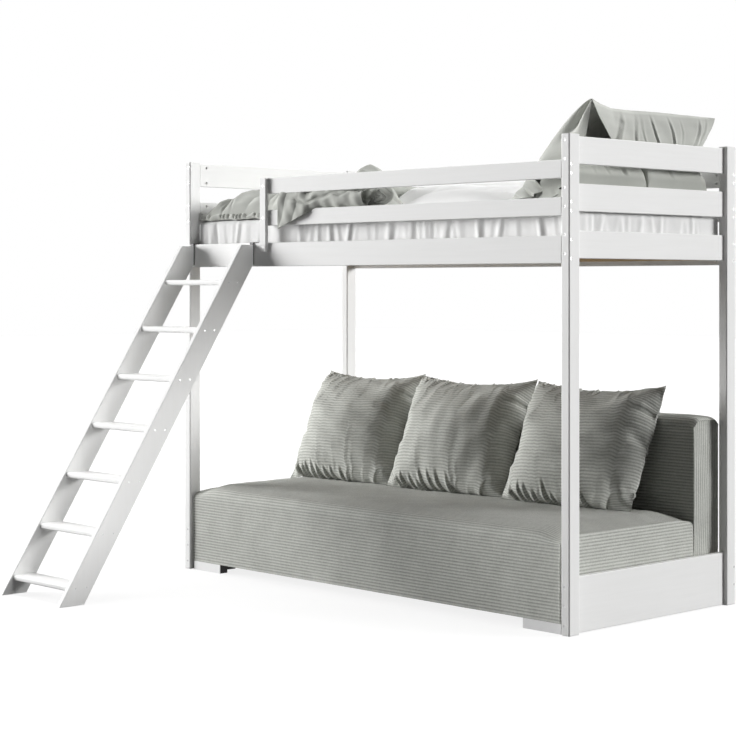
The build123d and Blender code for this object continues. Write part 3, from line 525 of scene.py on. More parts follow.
def gathered(side, grid, facing, rng, places, seed):
    """One face of a cushion with its pleats, small creases, unevenness and wales."""
    rows, columns = grid.shape[:2]
    rise = np.linspace(0, 1, rows)[:, None]
    left_edge, right_edge = grid[:, :1, 0], grid[:, -1:, 0]
    low_edge, high_edge = grid[:1, :, 1], grid[-1:, :, 1]
    across_share = (grid[:, :, 0] - left_edge) / (right_edge - left_edge)
    up_share = (grid[:, :, 1] - low_edge) / (high_edge - low_edge)
    drawn_in = 0.5 - 0.018 * np.sin(math.pi * rise)
    leaning = lean_in[side] * rise ** 2
    left_line = leaning - drawn_in * cushion_size[0]
    right_line = lean_out[side] * (0.25 + 0.75 * rise) + drawn_in * cushion_size[0]
    top_dip = 0.034 * np.clip(np.sin(math.pi * np.clip(across_share, 0, 1)), 0, 1) ** 0.8
    grid = np.stack([
        left_line + across_share * (right_line - left_line),
        up_share * (cushion_size[1] - top_dip) - cushion_size[1] / 2,
        grid[:, :, 2],
    ], 2)
    across = grid[:, :, 0] + cushion_size[0] / 2
    folds = [
        (place + rng.uniform(-0.006, 0.006), rng.uniform(0.018, 0.030), rng.uniform(0.07, 0.12),
         rng.uniform(0.0065, 0.009), rng.uniform(0.0062, 0.0095))
        for place in places
    ]
    crimps = [
        (place, -0.03, rng.uniform(0.05, 0.09), rng.uniform(0.006, 0.009), rng.uniform(0.003, 0.005))
        for place in (0.05, 0.09, 0.14, 0.20, 0.27, 0.35, 0.44)
    ]
    over = rise * cushion_size[1] * 1.08 + 0 * across
    lift = pleats(across, over, folds) + pleats(across, over[::-1], crimps)
    lift = lift + 0.005 * ripple(across, over, seed, (0.37, 0.26, 0.19, 0.14, 0.10, 0.08))
    edge_rows = np.minimum(np.arange(rows), np.arange(rows)[::-1])[:, None] / 4
    edge_columns = np.minimum(np.arange(columns), np.arange(columns)[::-1])[None, :] / 5
    inside = soft_step(np.minimum(edge_rows, edge_columns))
    if facing > 0:
        round_across = np.clip(1 - (2 * across_share - 1) ** 2, 0, 1)
        round_up = np.clip(1 - (2 * up_share - 1) ** 2, 0, 1)
        grid[:, :, 2] *= 0.92 + 0.62 * round_across * round_up ** 0.6
    wale = wale_profile(over)
    for height in (lift * inside, (wale - 1) * wale_relief):
        normal = sheet_normals(grid)
        turn = 1.0 if normal[rows // 2, columns // 2, 2] * facing > 0 else -1.0
        grid = grid + normal * (turn * height)[:, :, None]
    return grid, wale


swollen = stuffed(0.64, 0.54, columns=65, rows=55, pressure=9.0, frames=34, seed=11, cap=0.16)
swollen = [smoothed(face, 3) for face in swollen]
lean_in = {"left": 0.045, "middle": 0.026, "right": 0.026}
lean_out = {"left": 0.010, "middle": 0.036, "right": 0.032}
cushion_pleats = {
    "left": (0.055, 0.088, 0.118, 0.150, 0.185, 0.222, 0.262, 0.318),
    "middle": (0.065, 0.100, 0.140, 0.172, 0.206, 0.250, 0.285, 0.345),
    "right": (0.050, 0.092, 0.128, 0.170, 0.215, 0.258, 0.330, 0.395),
}
for number, (side, places) in enumerate(cushion_pleats.items()):
    rng = np.random.default_rng(40 + number)
    cushion_cloth = [
        gathered(side, finer(face, 250, 230), facing, rng, places, 60 + 2 * number + facing)
        for face, facing in zip(fitted(swollen, cushion_size), (1, -1))
    ]
    vertices, faces, wales = joined(cushion_cloth)
    low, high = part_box(f"cushion_{side}")
    along = np.array((math.cos(cushion_turn), math.sin(cushion_turn), 0))
    level = np.array((-math.sin(cushion_turn), math.cos(cushion_turn), 0))
    rising = np.array((0, 0, 1))
    up = level * math.sin(cushion_lean) + rising * math.cos(cushion_lean)
    out = rising * math.sin(cushion_lean) - level * math.cos(cushion_lean)
    placed = vertices @ np.stack([along, up, out]) + np.array((low + high) / 2)
    slump = 1 - soft_step((placed[:, 2] - low.z) / 0.25)
    placed[:, 1] -= 0.018 * slump
    end_gap = np.minimum(placed[:, 0] - seat_low.x, seat_high.x - placed[:, 0])
    placed[:, 2] -= 0.020 * slump * (1 - soft_step(end_gap / 0.12))
    cushion = make_piece(f"cord_cushion_{side}", placed, faces, cord, wales)
    close_seam(cushion)
    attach(cushion, "loose_cushions")
    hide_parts(f"cushion_{side}")


# Mattress and its fitted sheet: a foam block in white woven cotton, the sheet drawn over it
# with an elastic hem, so that upright folds fall down its sides.
def cotton(name, pale, deep, weave, fuzz):
    """Plain woven cotton with a fine thread and soft tone changes."""
    material, tree, shader, place = new_finish(
        name, Roughness=0.88, Specular_IOR_Level=0.2, Sheen_Weight=fuzz, Sheen_Roughness=0.5)
    thread = add_noise(tree, place, weave, Detail=4.0, Roughness=0.7)
    mixed = add_math(tree, "MULTIPLY_ADD", thread, 0.4, add_noise(tree, place, 5.0, Detail=3.0))
    lay_on(tree, shader, add_ramp(tree, mixed, (0.45, deep), (0.95, pale)), relief=(thread, 0.3, 0.0005))
    return material


def cloth_piece(name, material, *grids):
    """A plain cloth piece made of one or more grids of points."""
    vertices, faces, _ = joined([(grid, 0.0) for grid in grids])
    return make_piece(name, vertices, faces, material)


white_cotton = cotton("white_cotton", (0.84, 0.84, 0.835), (0.77, 0.77, 0.765), 1400.0, 0.08)
mat_low, mat_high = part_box("mattress")
mat_length, mat_width = mat_high.x - mat_low.x, mat_high.y - mat_low.y
corner_radius = 0.03


def block_outline(low, high, count):
    """An upright block's outline with rounded corners, from its far right corner, and the run."""
    left, right = low.x + corner_radius, high.x - corner_radius
    near, far = low.y + corner_radius, high.y - corner_radius
    points = []
    for number, (x, y) in enumerate(((right, far), (left, far), (left, near), (right, near))):
        for angle in (number + np.linspace(0, 1, 9)) * math.pi / 2:
            points.append((x + corner_radius * math.cos(angle), y + corner_radius * math.sin(angle)))
    return spaced(np.array(points + points[:1]), count)


def sheeted(inset, folds, seed, hem_tuck):
    """The block's cloth as rings of (distance inward, height): up the sides, over the rounded
    edge and across the top."""
    low = mat_low + Vector((inset, inset, 0))
    high = mat_high - Vector((inset, inset, inset))
    outline, run = block_outline(low, high, 1400)
    centre = np.array(((low.x + high.x) / 2, (low.y + high.y) / 2))
    tangent = np.gradient(outline, axis=0)
    side_way = np.stack([tangent[:, 1], -tangent[:, 0]], 1)
    side_way /= np.maximum(np.linalg.norm(side_way, axis=1, keepdims=True), 1e-9)
    side_way *= np.sign((side_way * (outline - centre)).sum(1, keepdims=True))
    height = high.z - low.z
    base = low.z - mat_low.z
    edge = 0.022
    flat_from = 0.1
    rows = [(0.05, 0.001), (0.02, 0.0005)] if hem_tuck else []
    rows += [(0.0 if level > 0.004 else 0.002, base + level) for level in np.linspace(0, height - edge, 12)]
    rows += [(edge * (1 - math.cos(angle)), height - edge + edge * math.sin(angle) + base)
             for angle in np.linspace(0.25, math.pi / 2, 6)]
    rows += [(edge + reach, height + base) for reach in (0.01, 0.03, 0.06, 0.11, 0.18, 0.28, 0.40)]
    grid = []
    for inward, level in rows:
        place = outline - side_way * inward
        if inward > flat_from and level > 0.01:
            share = min(1.0, (inward - flat_from) / 0.43)
            target_x = np.clip(outline[:, 0], low.x + 0.42, high.x - 0.42)
            target_y = np.clip(outline[:, 1], centre[1] - 0.001, centre[1] + 0.001)
            target = np.stack([target_x, target_y], 1)
            place = (outline - side_way * flat_from) * (1 - share) + target * share
        level_share = (level - base) / height
        if folds is not None:
            fall = math.sin(math.pi * min(max(level_share, 0.02), 0.98)) ** 0.5 if inward < edge else 0.25
            place = place + side_way * (folds(run, level_share) * fall)[:, None]
        lift = 0.0
        if inward > edge:
            lift = 0.002 * ripple(place[:, 0], place[:, 1], seed, (0.5, 0.33, 0.21, 0.13))
        tall = np.broadcast_to(mat_low.z + level + lift, run.shape)
        grid.append(np.stack([place[:, 0], place[:, 1], tall], 1))
    return np.array(grid)


mattress = cloth_piece("mattress_block", white_cotton, sheeted(0.008, None, 5, False))
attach(mattress, "frame")
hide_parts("mattress")

fold_rng = np.random.default_rng(7)
bend = corner_radius * (math.pi / 2 - 2)
front_start = 3 * bend + mat_length + mat_width + corner_radius
right_start = 4 * bend + 2 * mat_length + mat_width + corner_radius
front_folds_at = (
    0.131, 0.157, 0.30, 0.683, 0.707, 0.788, 0.857, 0.963, 1.18, 1.296, 1.373, 1.474, 1.64, 1.735, 1.92,
)
right_folds_at = (0.133, 0.16, 0.215, 0.333, 0.442, 0.56, 0.68, 0.753)
deep_places = [front_start + place - 0.04 for place in front_folds_at]
deep_places += [right_start + place - 0.036 for place in right_folds_at]
deep_places += list(fold_rng.uniform(0.05, front_start - 0.05, 22))
slight_places = np.cumsum(fold_rng.uniform(0.035, 0.095, 110))
slight_places = slight_places[slight_places < right_start + mat_width - 0.1]
fold_places = np.concatenate([deep_places, slight_places])
fold_slants = fold_rng.uniform(-0.030, 0.030, len(fold_places))
fold_depths = fold_rng.uniform(0.0010, 0.0026, len(fold_places))
fold_depths[:len(deep_places)] = fold_rng.uniform(0.0026, 0.0054, len(deep_places))
fold_widths = fold_rng.uniform(0.010, 0.019, len(fold_places))


def hanging_folds(run, level_share):
    """Upright folds round the mattress's sides."""
    height = np.zeros(len(run))
    for place, slant, deep, wide in zip(fold_places, fold_slants, fold_depths, fold_widths):
        off = (run - place - slant * (level_share - 0.5)) / wide
        height = height + deep * (np.exp(-off ** 2) - 0.6 * np.exp(-((off - 1.35) ** 2)))
    return np.clip(height, -0.0065, 0.0115)


fitted_sheet = cloth_piece("fitted_sheet", white_cotton, sheeted(0.0, hanging_folds, 6, True))
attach(fitted_sheet, "frame")


# Blanket: a soft padded cover in sage cotton, pushed into a heap at the foot end, with a
# ruffled front edge, and one corner rolled over the lower guard rail and hanging there.
green_cotton = cotton("sage_cotton", (0.50, 0.51, 0.475), (0.42, 0.43, 0.40), 1200.0, 0.15)
bed_corner = np.array(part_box("lower_post_front_left")[0]) * (1, 1, 0)
bed_top = mat_high.z


def read_off(at, *stops):
    """Values read off a line that is drawn through stops of (place, value)."""
    return np.interp(at, *np.transpose(stops))


def thicken(piece, name, thickness, offset):
    """Gives a cloth sheet its thickness."""
    wall = piece.modifiers.new(name, "SOLIDIFY")
    wall.thickness = thickness
    wall.offset = offset


sheet_gap = 0.0035
heap_x = np.linspace(0.047, 1.205, 330)
heap_y = np.linspace(0.042, 0.925, 260)
ridge = read_off(
    heap_x, (0.046, 0.006), (0.075, 0.045), (0.10, 0.070), (0.135, 0.098), (0.18, 0.116), (0.25, 0.126),
    (0.33, 0.128), (0.45, 0.118), (0.60, 0.122), (0.75, 0.136), (0.85, 0.160), (0.90, 0.180),
    (0.975, 0.203), (1.03, 0.182), (1.08, 0.136), (1.15, 0.070), (1.205, 0.006))
ridge = np.convolve(np.pad(ridge, 3, mode="edge"), np.ones(7) / 7, mode="valid")
profile = read_off(
    heap_y, (0.042, 0.04), (0.046, 0.30), (0.056, 0.56), (0.075, 0.76), (0.11, 0.92), (0.16, 1.0),
    (0.24, 0.95), (0.45, 0.70), (0.65, 0.56), (0.80, 0.48), (0.89, 0.34), (0.925, 0.02))
spot_x, spot_y = np.meshgrid(heap_x, heap_y)
drawn_back = 0.050 + 0.27 * soft_step((spot_y - 0.16) / 0.22)
spot_x = spot_x - drawn_back * soft_step((spot_x - 0.745) / 0.46)
wander = 0.06 * ripple(spot_x, spot_y, 21, (0.6, 0.41, 0.3, 0.2))
broad = np.abs(np.sin(math.pi * (spot_x + 0.45 * spot_y + wander) / 0.235)) ** 0.55 - 1
narrow = np.abs(np.sin(math.pi * (spot_x - 0.55 * spot_y + 1.4 * wander + 0.03) / 0.148)) ** 0.6 - 1
puffs = 0.020 * broad + 0.012 * narrow + 0.005 * ripple(spot_x, spot_y, 22, (0.13, 0.10, 0.075, 0.06))
heap_creases = (
    (0.190, 0.10, 0.009, 0.018), (0.240, -0.25, 0.008, 0.007), (0.120, 0.30, 0.010, 0.006),
    (0.985, 0.35, 0.010, 0.010), (1.055, -0.20, 0.010, 0.012),
)
for crease_x, lean_over, breadth, deep in heap_creases:
    puffs = puffs - deep * np.exp(-((spot_x - crease_x - lean_over * (spot_y - 0.06)) / breadth) ** 2)
body = ridge[None, :] * profile[:, None]
heap_z = bed_top + sheet_gap + np.maximum(body + puffs * soft_step(body / 0.09), 0)
heap_grid = np.stack([spot_x, spot_y, heap_z], 2) + bed_corner

turn = np.linspace(0, 2 * math.pi, 22)[None, :]
hem_x = np.linspace(0.050, 0.520, 260)[:, None]
bumps = np.abs(np.sin(math.pi * (hem_x / 0.034 + 0.5 * np.sin(hem_x * 23) + 0.3 * np.sin(hem_x * 61))))
hem_ends = soft_step((hem_x - 0.048) / 0.02) * soft_step((0.522 - hem_x) / 0.03)
hem_radius = (0.0065 + 0.0060 * bumps ** 0.7) * hem_ends + 0.0005
hem_wave = 0.004 * np.sin(hem_x * 37) + 0.003 * np.sin(hem_x * 83)
hem_grid = np.stack([
    hem_x + 0 * turn,
    0.0455 + 0.4 * hem_wave + hem_radius * 0.9 * np.cos(turn),
    bed_top + 0.0025 + hem_radius + hem_wave * 0.4 + hem_radius * np.sin(turn),
], 2) + bed_corner

swirl_share = np.linspace(0, 1, 50)[:, None]
swirl_turn = np.linspace(0, 2 * math.pi, 120)[None, :]
swirl_twist = 2.1 * swirl_share + swirl_turn / math.pi + 0.25 * np.sin(3 * swirl_turn)
swirl_wave = np.abs(np.sin(math.pi * swirl_twist)) ** 0.6 - 0.6
swirl_out = 0.022 * np.sqrt(1 - swirl_share ** 2) + 0.014 * swirl_wave * np.sin(math.pi * swirl_share ** 0.7)
swirl_grid = np.stack([
    1.118 + 0.058 * swirl_share * np.cos(swirl_turn),
    0.066 - swirl_out,
    1.538 + 0.036 * swirl_share * np.sin(swirl_turn) * (1 + 0.08 * np.sin(2 * swirl_turn)),
], 2) + bed_corner
blanket = cloth_piece("blanket_heap", green_cotton, heap_grid, hem_grid, swirl_grid)
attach(blanket, "frame")
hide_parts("blanket")
thicken(blanket, "padding", 0.003, -1.0)

flap_x = np.linspace(0.608, 1.072, 190)
flap_rows = 90
hang_share = 1 - soft_step((flap_x - 0.75) / 0.10)
hem_z = read_off(flap_x, (0.608, 1.418), (0.817, 1.490), (0.86, 1.500), (1.08, 1.500))
wave = 0.006 * np.sin((flap_x - 0.6) * 29) + 0.004 * np.sin((flap_x - 0.6) * 67)
roll_end = 1 - 0.55 * soft_step((flap_x - 0.98) / 0.09)
flap_lines = []
for x, share, fat, ripple_z, hem_level in zip(flap_x, hang_share, roll_end, wave, hem_z):
    hanging = [(0.150, 1.580), (0.090, 1.586), (0.045, 1.578), (0.012, 1.556), (-0.006, 1.526),
               (-0.009, 1.500), (-0.010, 0.5 * (1.500 + hem_level)), (-0.0105, hem_level)]
    rolled = [(0.150, 1.592), (0.090, 1.590), (0.045, 1.574), (0.014, 1.558 * fat + 1.53 * (1 - fat)),
              (0.004, 1.534), (0.010, 1.513), (0.030, 1.504), (0.050, 1.512)]
    line = np.array(hanging) * share + np.array(rolled) * (1 - share)
    line[1:5, 1] += ripple_z
    flap_lines.append(np.insert(line, 0, x, axis=1))
flap_grid = finer(np.array(flap_lines).transpose(1, 0, 2), flap_rows, len(flap_x)) + bed_corner
down_flap = np.linspace(0, 1, flap_rows)[:, None]
flap_across = flap_grid[:, :, 0]
from_left = flap_across - flap_across[0, 0]
fold_turn = (flap_across + 0.07 * down_flap + 0.012 * np.sin(6 * down_flap)) / 0.072
flap_fold = np.abs(np.sin(math.pi * fold_turn)) ** 0.6 - 1
flap_puff = (0.001 + 0.0035 * hang_share[None, :]) * flap_fold * soft_step(down_flap / 0.2)
flap_puff = flap_puff + 0.004 * ripple(flap_across, flap_grid[:, :, 2], 33, (0.11, 0.07, 0.05))
long_crease = -0.016 * np.exp(-((down_flap - 0.47 - 0.12 * np.sin(from_left * 9)) / 0.035) ** 2)
lift = flap_puff + long_crease * soft_step((from_left - 0.03) / 0.10)
flap_padding = 0.010
flap_normal = sheet_normals(flap_grid)
flap_normal = flap_normal * np.where(flap_normal[:, :, 1:2] > 0, -1.0, 1.0)
flap_grid = flap_grid + flap_normal * np.maximum(lift + flap_padding, 0)[:, :, None] * (0.3, 0.75, 1.0)
flap = cloth_piece("blanket_flap", green_cotton, flap_grid)
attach(flap, "frame")
thicken(flap, "padding", 0.004, 0.0)


# Duvet: a white cotton quilt with a light filling, spread over the middle of the bed and
# turned down in a low mound along the front.
duvet_left, duvet_right = 0.760, 1.690
duvet_front, duvet_back = 0.046, 0.918
quilt_x, quilt_y = np.meshgrid(
    np.linspace(duvet_left, duvet_right, 290), np.linspace(duvet_front, duvet_back, 230))
mound_x = np.clip(1 - np.abs((quilt_x - 1.420) / 0.275) ** 2.6, 0, 1) ** 0.75
mound_y = soft_step((quilt_y - 0.036) / 0.12) * (1 - soft_step((quilt_y - 0.30) / 0.16))
mound = (0.086 - 0.02 * (quilt_x - 1.35)) * mound_x * mound_y
spread = read_off(quilt_x, (0.76, 0.0), (0.79, 0.080), (0.86, 0.122), (1.04, 0.132), (1.20, 0.122),
                  (1.45, 0.110), (1.57, 0.098), (1.64, 0.060), (1.69, 0.0))
spread = spread * soft_step((quilt_y - 0.30) / 0.20) * soft_step((0.920 - quilt_y) / 0.12)
from_side = np.minimum(quilt_x - duvet_left, duvet_right - quilt_x)
from_end = np.minimum(quilt_y - duvet_front, duvet_back - quilt_y)
low_cover = 0.018 * np.clip(from_side / 0.03, 0, 1) * np.clip(from_end / 0.02, 0, 1)
duvet_height = np.maximum(np.maximum(mound, spread), low_cover)
drift = 0.05 * ripple(quilt_x, quilt_y, 45, (0.5, 0.36, 0.25))
diagonal = np.abs(np.sin(math.pi * (0.80 * quilt_x - 0.62 * quilt_y + drift) / 0.105)) ** 0.65 - 1
creases = 0.007 * diagonal * soft_step(spread / 0.06) * (spread > mound)
creases = creases + 0.0018 * ripple(quilt_x, quilt_y, 44, (0.26, 0.19, 0.14, 0.11))
duvet_height = duvet_height + creases * soft_step(duvet_height / 0.05)
for _ in range(2):
    rows = len(duvet_height)
    padded_height = np.pad(duvet_height, ((2, 2), (0, 0)), mode="edge")
    duvet_height = (sum(padded_height[shift:shift + rows] for shift in range(5)) / 5).T
duvet_grid = np.stack([quilt_x, quilt_y, bed_top + 0.003 + np.maximum(duvet_height, 0)], 2) + bed_corner
# The quilt's cotton is a brighter copy of the white cotton: painted light on its top.
white_cotton_painted_light = cotton("white_cotton_painted_light", (0.92, 0.92, 0.915), (0.86, 0.86, 0.855), 1400.0, 0.08)
duvet = cloth_piece("duvet_spread", white_cotton_painted_light, duvet_grid)
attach(duvet, "frame")
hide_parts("duvet")


# Lying pillows: two full pillows side by side against the end rails, in sage cotton cases
# coloured darker than the blanket as painted shade from the rails.
# Blunt where they meet the rails, with rounded corners towards the bed.
pillow_low, pillow_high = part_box("pillows_lying")
# A darker copy of the sage cotton: painted shade from the end rails.
shaded_sage_cotton = cotton("sage_cotton_painted_shade", (0.43, 0.44, 0.408), (0.36, 0.37, 0.342), 1200.0, 0.15)
pillow_tall = pillow_high.z - pillow_low.z - 0.006
round_pillow = 97
section_corners = [
    (0.0, 0.16), (0.02, 0.42), (0.22, 0.86), (0.60, 1.0), (0.90, 0.97), (1.0, 0.70), (1.0, 0.20), (0.93, 0.0),
    (0.10, 0.0), (0.0, 0.14),
]
section = rounded_path(section_corners, (0.08, 0.18, 0.30, 0.14, 0.10, 0.12, 0.06, 0.05), 0.01)[0]
section_place = np.linspace(0, len(section) - 1, round_pillow)
deep_shares, tall_shares = [np.interp(section_place, range(len(section)), side) for side in section.T]
pillows = (
    (0.058, 0.479, ((0.338, 0.010, 0.007), (0.245, 0.008, 0.003), (0.165, 0.009, 0.002))),
    (0.484, 0.843, ((0.610, 0.010, 0.003), (0.800, 0.009, 0.004))),
)
for number, (y_low, y_high, creases) in enumerate(pillows):
    length = np.linspace(0, 1, 110)
    from_end = np.minimum(length, 1 - length) * (y_high - y_low)
    corner = np.clip(from_end / 0.045, 0, 1)
    full = (0.06 + 0.94 * (1 - (1 - corner) ** 3) ** 0.5)[:, None]
    plan = np.clip(from_end / 0.26, 0, 1)
    inset = 0.300 * (1 - np.sqrt(1 - (1 - plan) ** 2))
    left = np.minimum(pillow_low.x + inset, pillow_high.x - 0.06)[:, None]
    x = pillow_high.x - 0.001 - (pillow_high.x - left) * (1 - deep_shares) * (1 - 0.05 * (1 - full))
    y = np.broadcast_to(y_low + (y_high - y_low) * length[:, None] + bed_corner[1], x.shape)
    z = pillow_low.z + 0.002 + pillow_tall * (0.40 - 0.40 * full + tall_shares * full)
    grid = np.stack([x, y, z], 2)
    normal = sheet_normals(grid)
    facing = np.sign((normal * (grid - grid.mean((0, 1)))).sum(2, keepdims=True))
    across = y - bed_corner[1]
    around = x * 0.6 + z
    lift = 0.0030 * ripple(across, around, 70 + number, (0.30, 0.19, 0.12, 0.08))
    for crease_y, breadth, deep in creases:
        off = (across - crease_y - 0.03 * np.sin(9 * around)) / breadth
        lift = lift - deep * np.exp(-off ** 2) + 0.6 * deep * np.exp(-((off - 1.6) ** 2))
    rise = soft_step((z - pillow_low.z) / 0.03) * soft_step(corner / 0.3)[:, None]
    inside = soft_step((pillow_high.x - x) / 0.012)
    grid = grid + normal * facing * (lift * rise * inside)[:, :, None]
    pillow = cloth_piece(f"lying_pillow_{number + 1}", shaded_sage_cotton, grid)
    close_seam(pillow)
    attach(pillow, "frame")
    if number == 0:
        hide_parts("pillows_lying")


# Leaning pillow: a full pillow in a longer sage case, propped on the lying ones against the
# end rail. The near end is the case's open mouth, half folded shut; the far end is sewn.
top_near = np.array((2.000, 0.220, 1.849))
top_far = np.array((2.035, 0.905, 1.819))
foot_near = np.array((1.660, 0.220, 1.500))
foot_far = np.array((1.690, 0.900, 1.490))
case_steps = np.linspace(0, 1, 150)
case_rows = np.linspace(0, 1, 90)


def case_sheet(lengths, depths, thick):
    """Points of the case: along its length, down from its top edge, and out of its plane."""
    top_line = top_near + (top_far - top_near) * lengths[..., None]
    sag = read_off(lengths, (0, 0), (0.06, 0.012), (0.19, 0.028), (0.35, 0.026),
                   (0.5, 0.018), (0.8, 0.006), (1, 0))
    foot_line = foot_near + (foot_far - foot_near) * lengths[..., None]
    fall = foot_line - top_line
    down = fall / np.linalg.norm(fall, axis=-1, keepdims=True)
    outward = np.stack([down[..., 2], 0 * lengths, -down[..., 0]], -1)
    points = top_line + fall * depths[..., None] + down * (sag * (1 - depths))[..., None]
    return points + outward * thick[..., None] + bed_corner


def slanting_creases(lengths, depths, creases):
    """Creases that run down the case in an S: each is (place, sway, breadth, height)."""
    height = 0 * lengths
    for place, sway, breadth, tall in creases:
        off = (lengths - place - sway * np.sin(5.5 * depths + 9 * place)) / breadth
        height = height + tall * (np.exp(-off ** 2) - 0.9 * np.exp(-((off + 1.35) / 0.85) ** 2))
    return height


along, down_case = np.meshgrid(case_steps, case_rows, indexing="ij")
end_close = 1 - soft_step((along - 0.62) / 0.38)
front_swell = read_off(along, (0, 0.037), (0.15, 0.062), (0.4, 0.080), (0.8, 0.062), (1, 0.0))
front_swell = front_swell * (0.25 + 0.75 * end_close)
front_dome = np.sin(math.pi * down_case ** 0.85) ** 0.72
front_folds = slanting_creases(along, down_case, (
    (0.10, 0.03, 0.020, 0.005), (0.33, 0.05, 0.030, 0.004),
    (0.58, 0.04, 0.028, 0.005), (0.80, 0.05, 0.024, 0.004),
))
front_folds = front_folds + 0.0035 * ripple(along, down_case, 81, (0.40, 0.27, 0.19, 0.13))
front_thick = (front_swell + front_folds) * front_dome
least_thick = 0.0006
front_layer = case_sheet(along, down_case, np.maximum(front_thick, least_thick))

back_reach = read_off(down_case, (0, 0), (0.04, 0.030), (0.09, 0.085), (0.15, 0.150), (0.226, 0.235),
                      (0.45, 0.30), (1, 0.25))
back_along = back_reach + (1 - back_reach) * along
back_swell = read_off(down_case, (0, 0), (0.03, 0.028), (0.08, 0.058), (0.15, 0.088), (0.226, 0.105),
                      (0.30, 0.110), (0.40, 0.092), (0.50, 0.045), (0.60, 0.004), (1.0, 0.002))
back_length = read_off(back_along, (0, 0.85), (0.10, 0.95), (0.25, 1.0), (0.70, 0.97), (0.86, 0.86),
                       (0.93, 0.68), (0.97, 0.48), (1, 0.30))
far_end = 1 - soft_step((1 - back_along) / 0.10)
back_length = back_length * (1 - far_end * soft_step((down_case - 0.22) / 0.3))
back_folds = slanting_creases(back_along, down_case * 2.2, (
    (0.245, 0.030, 0.010, 0.010), (0.395, 0.034, 0.008, 0.006), (0.455, 0.046, 0.007, 0.003),
    (0.525, 0.042, 0.008, 0.007), (0.630, 0.038, 0.008, 0.006), (0.700, 0.030, 0.007, 0.002),
    (0.835, 0.034, 0.008, 0.007), (0.905, 0.030, 0.008, 0.004),
))
below_edge = soft_step(down_case / 0.05)
back_folds = back_folds * below_edge * (1 - soft_step((down_case - 0.42) / 0.12))
back_thick = back_swell * back_length + back_folds * np.minimum(1, back_length * 1.6)
back_thick = back_thick + 0.003 * ripple(back_along, down_case, 83, (0.35, 0.22, 0.16, 0.11)) * below_edge
back_layer = case_sheet(back_along, down_case, -np.maximum(back_thick, least_thick))

fold_rows = case_rows[:, None]
fold_across = np.linspace(0, 1, 26)[None, :]
fold_belly = np.sin(math.pi * fold_across)
mouth_front = front_thick[0][:, None]
mouth_back = read_off(fold_rows, (0, 0), (0.255, -0.079), (0.45, -0.070), (0.62, -0.012), (1, 0.0))
mouth_thick = mouth_front + (mouth_back - mouth_front) * fold_across
tuck = 0.085 * fold_belly * (1 - soft_step(fold_rows / 0.5)) * np.exp(-((fold_across - 0.30) / 0.16) ** 2)
mouth_length = tuck - 0.012 * fold_belly * soft_step(fold_rows / 0.15)
mouth_fold = case_sheet(mouth_length, fold_rows + 0 * fold_across, mouth_thick)

skirt_share = np.linspace(0, 1, 60)[:, None]
skirt_drop = np.linspace(0, 1, 34)[None, :]
skirt_top = case_sheet(0 * skirt_share, 1.0 - 0.28 * skirt_share, 0.006 + 0 * skirt_share)
skirt_hem = np.stack([
    read_off(skirt_share, (0, 1.752), (0.45, 1.828), (0.85, 1.875), (1, 1.891)),
    0.088 + 0.008 * np.sin(skirt_share * 15),
    read_off(skirt_share, (0, 1.5015), (0.45, 1.505), (0.85, 1.522), (1, 1.534)),
], -1) + bed_corner
swing = np.stack([skirt_drop, skirt_drop ** 0.45, skirt_drop], -1)
skirt = skirt_top + (skirt_hem - skirt_top) * swing
skirt_wave = np.sin(2 * math.pi * (2.6 * skirt_share ** 1.2 + 0.15 * skirt_drop))
skirt[..., 1] += 0.004 * skirt_wave * np.sin(math.pi * skirt_drop * 0.72)

# The case's cotton is a paler copy of the sage cotton: painted light.
lit_sage_cotton = cotton("sage_cotton_painted_light", (0.57, 0.58, 0.545), (0.49, 0.50, 0.468), 1200.0, 0.15)
pillow_case = cloth_piece("leaning_pillow_case", lit_sage_cotton, front_layer, back_layer, mouth_fold, skirt)
close_seam(pillow_case)
thicken(pillow_case, "cloth", 0.0016, -1.0)
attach(pillow_case, "frame")
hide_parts("pillow_leaning")

fill_along, fill_down = np.meshgrid(np.linspace(0, 1, 60), np.linspace(0, 1, 44), indexing="ij")
fill_round = np.clip(1 - np.abs(2 * fill_along - 1) ** 3, 0, 1) ** 0.6
filling = []
for swell, reach in ((0.026, 1.0), (-0.060, 0.52)):
    dome = np.clip(np.sin(math.pi * np.clip(fill_down / reach, 0, 1)), 0, 1) ** 0.8
    filling.append(case_sheet(0.42 + 0.40 * fill_along, 0.05 + 0.88 * fill_down, swell * fill_round * dome))
pillow_fill = cloth_piece("leaning_pillow_filling", white_cotton, *filling)
close_seam(pillow_fill)
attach(pillow_fill, "frame")


# Floor: a plain sheet that the bed stands on. It shows white to the camera and in gloss,
# keeps the soft shadows under the feet, and sends little light back up.
bpy.ops.mesh.primitive_plane_add(size=60.0, location=(0, 0, -0.0005))
floor = bpy.context.object
floor.name = "studio_floor"


def white_rays(tree):
    """1 for the rays that see the background white, 0 for those that light the bed."""
    rays = add_node(tree, "LightPath")
    seen = rays.outputs["Is Camera Ray"]
    for kind in ("Glossy", "Transmission"):
        seen = add_math(tree, "MAXIMUM", seen, rays.outputs[f"Is {kind} Ray"])
    return seen


floor_finish, floor_tree, floor_shader, _ = new_finish("studio_floor_white", Roughness=0.9)
bounce = add_node(floor_tree, "LightPath").outputs["Is Diffuse Ray"]
floor_grey = add_node(floor_tree, "MapRange", Value=bounce, To_Min=0.15, To_Max=0.05).outputs[0]
floor_tree.links.new(floor_grey, floor_shader.inputs["Base Color"])
glow_level = add_math(floor_tree, "MULTIPLY", white_rays(floor_tree), 0.84)
glow = add_node(floor_tree, "Emission", Color=(1, 1, 1, 1), Strength=glow_level)
floor_sum = add_node(floor_tree, "AddShader")
floor_tree.links.new(floor_shader.outputs[0], floor_sum.inputs[0])
floor_tree.links.new(glow.outputs[0], floor_sum.inputs[1])
floor_tree.links.new(floor_sum.outputs[0], floor_tree.nodes["Material Output"].inputs["Surface"])
floor.data.materials.append(floor_finish)


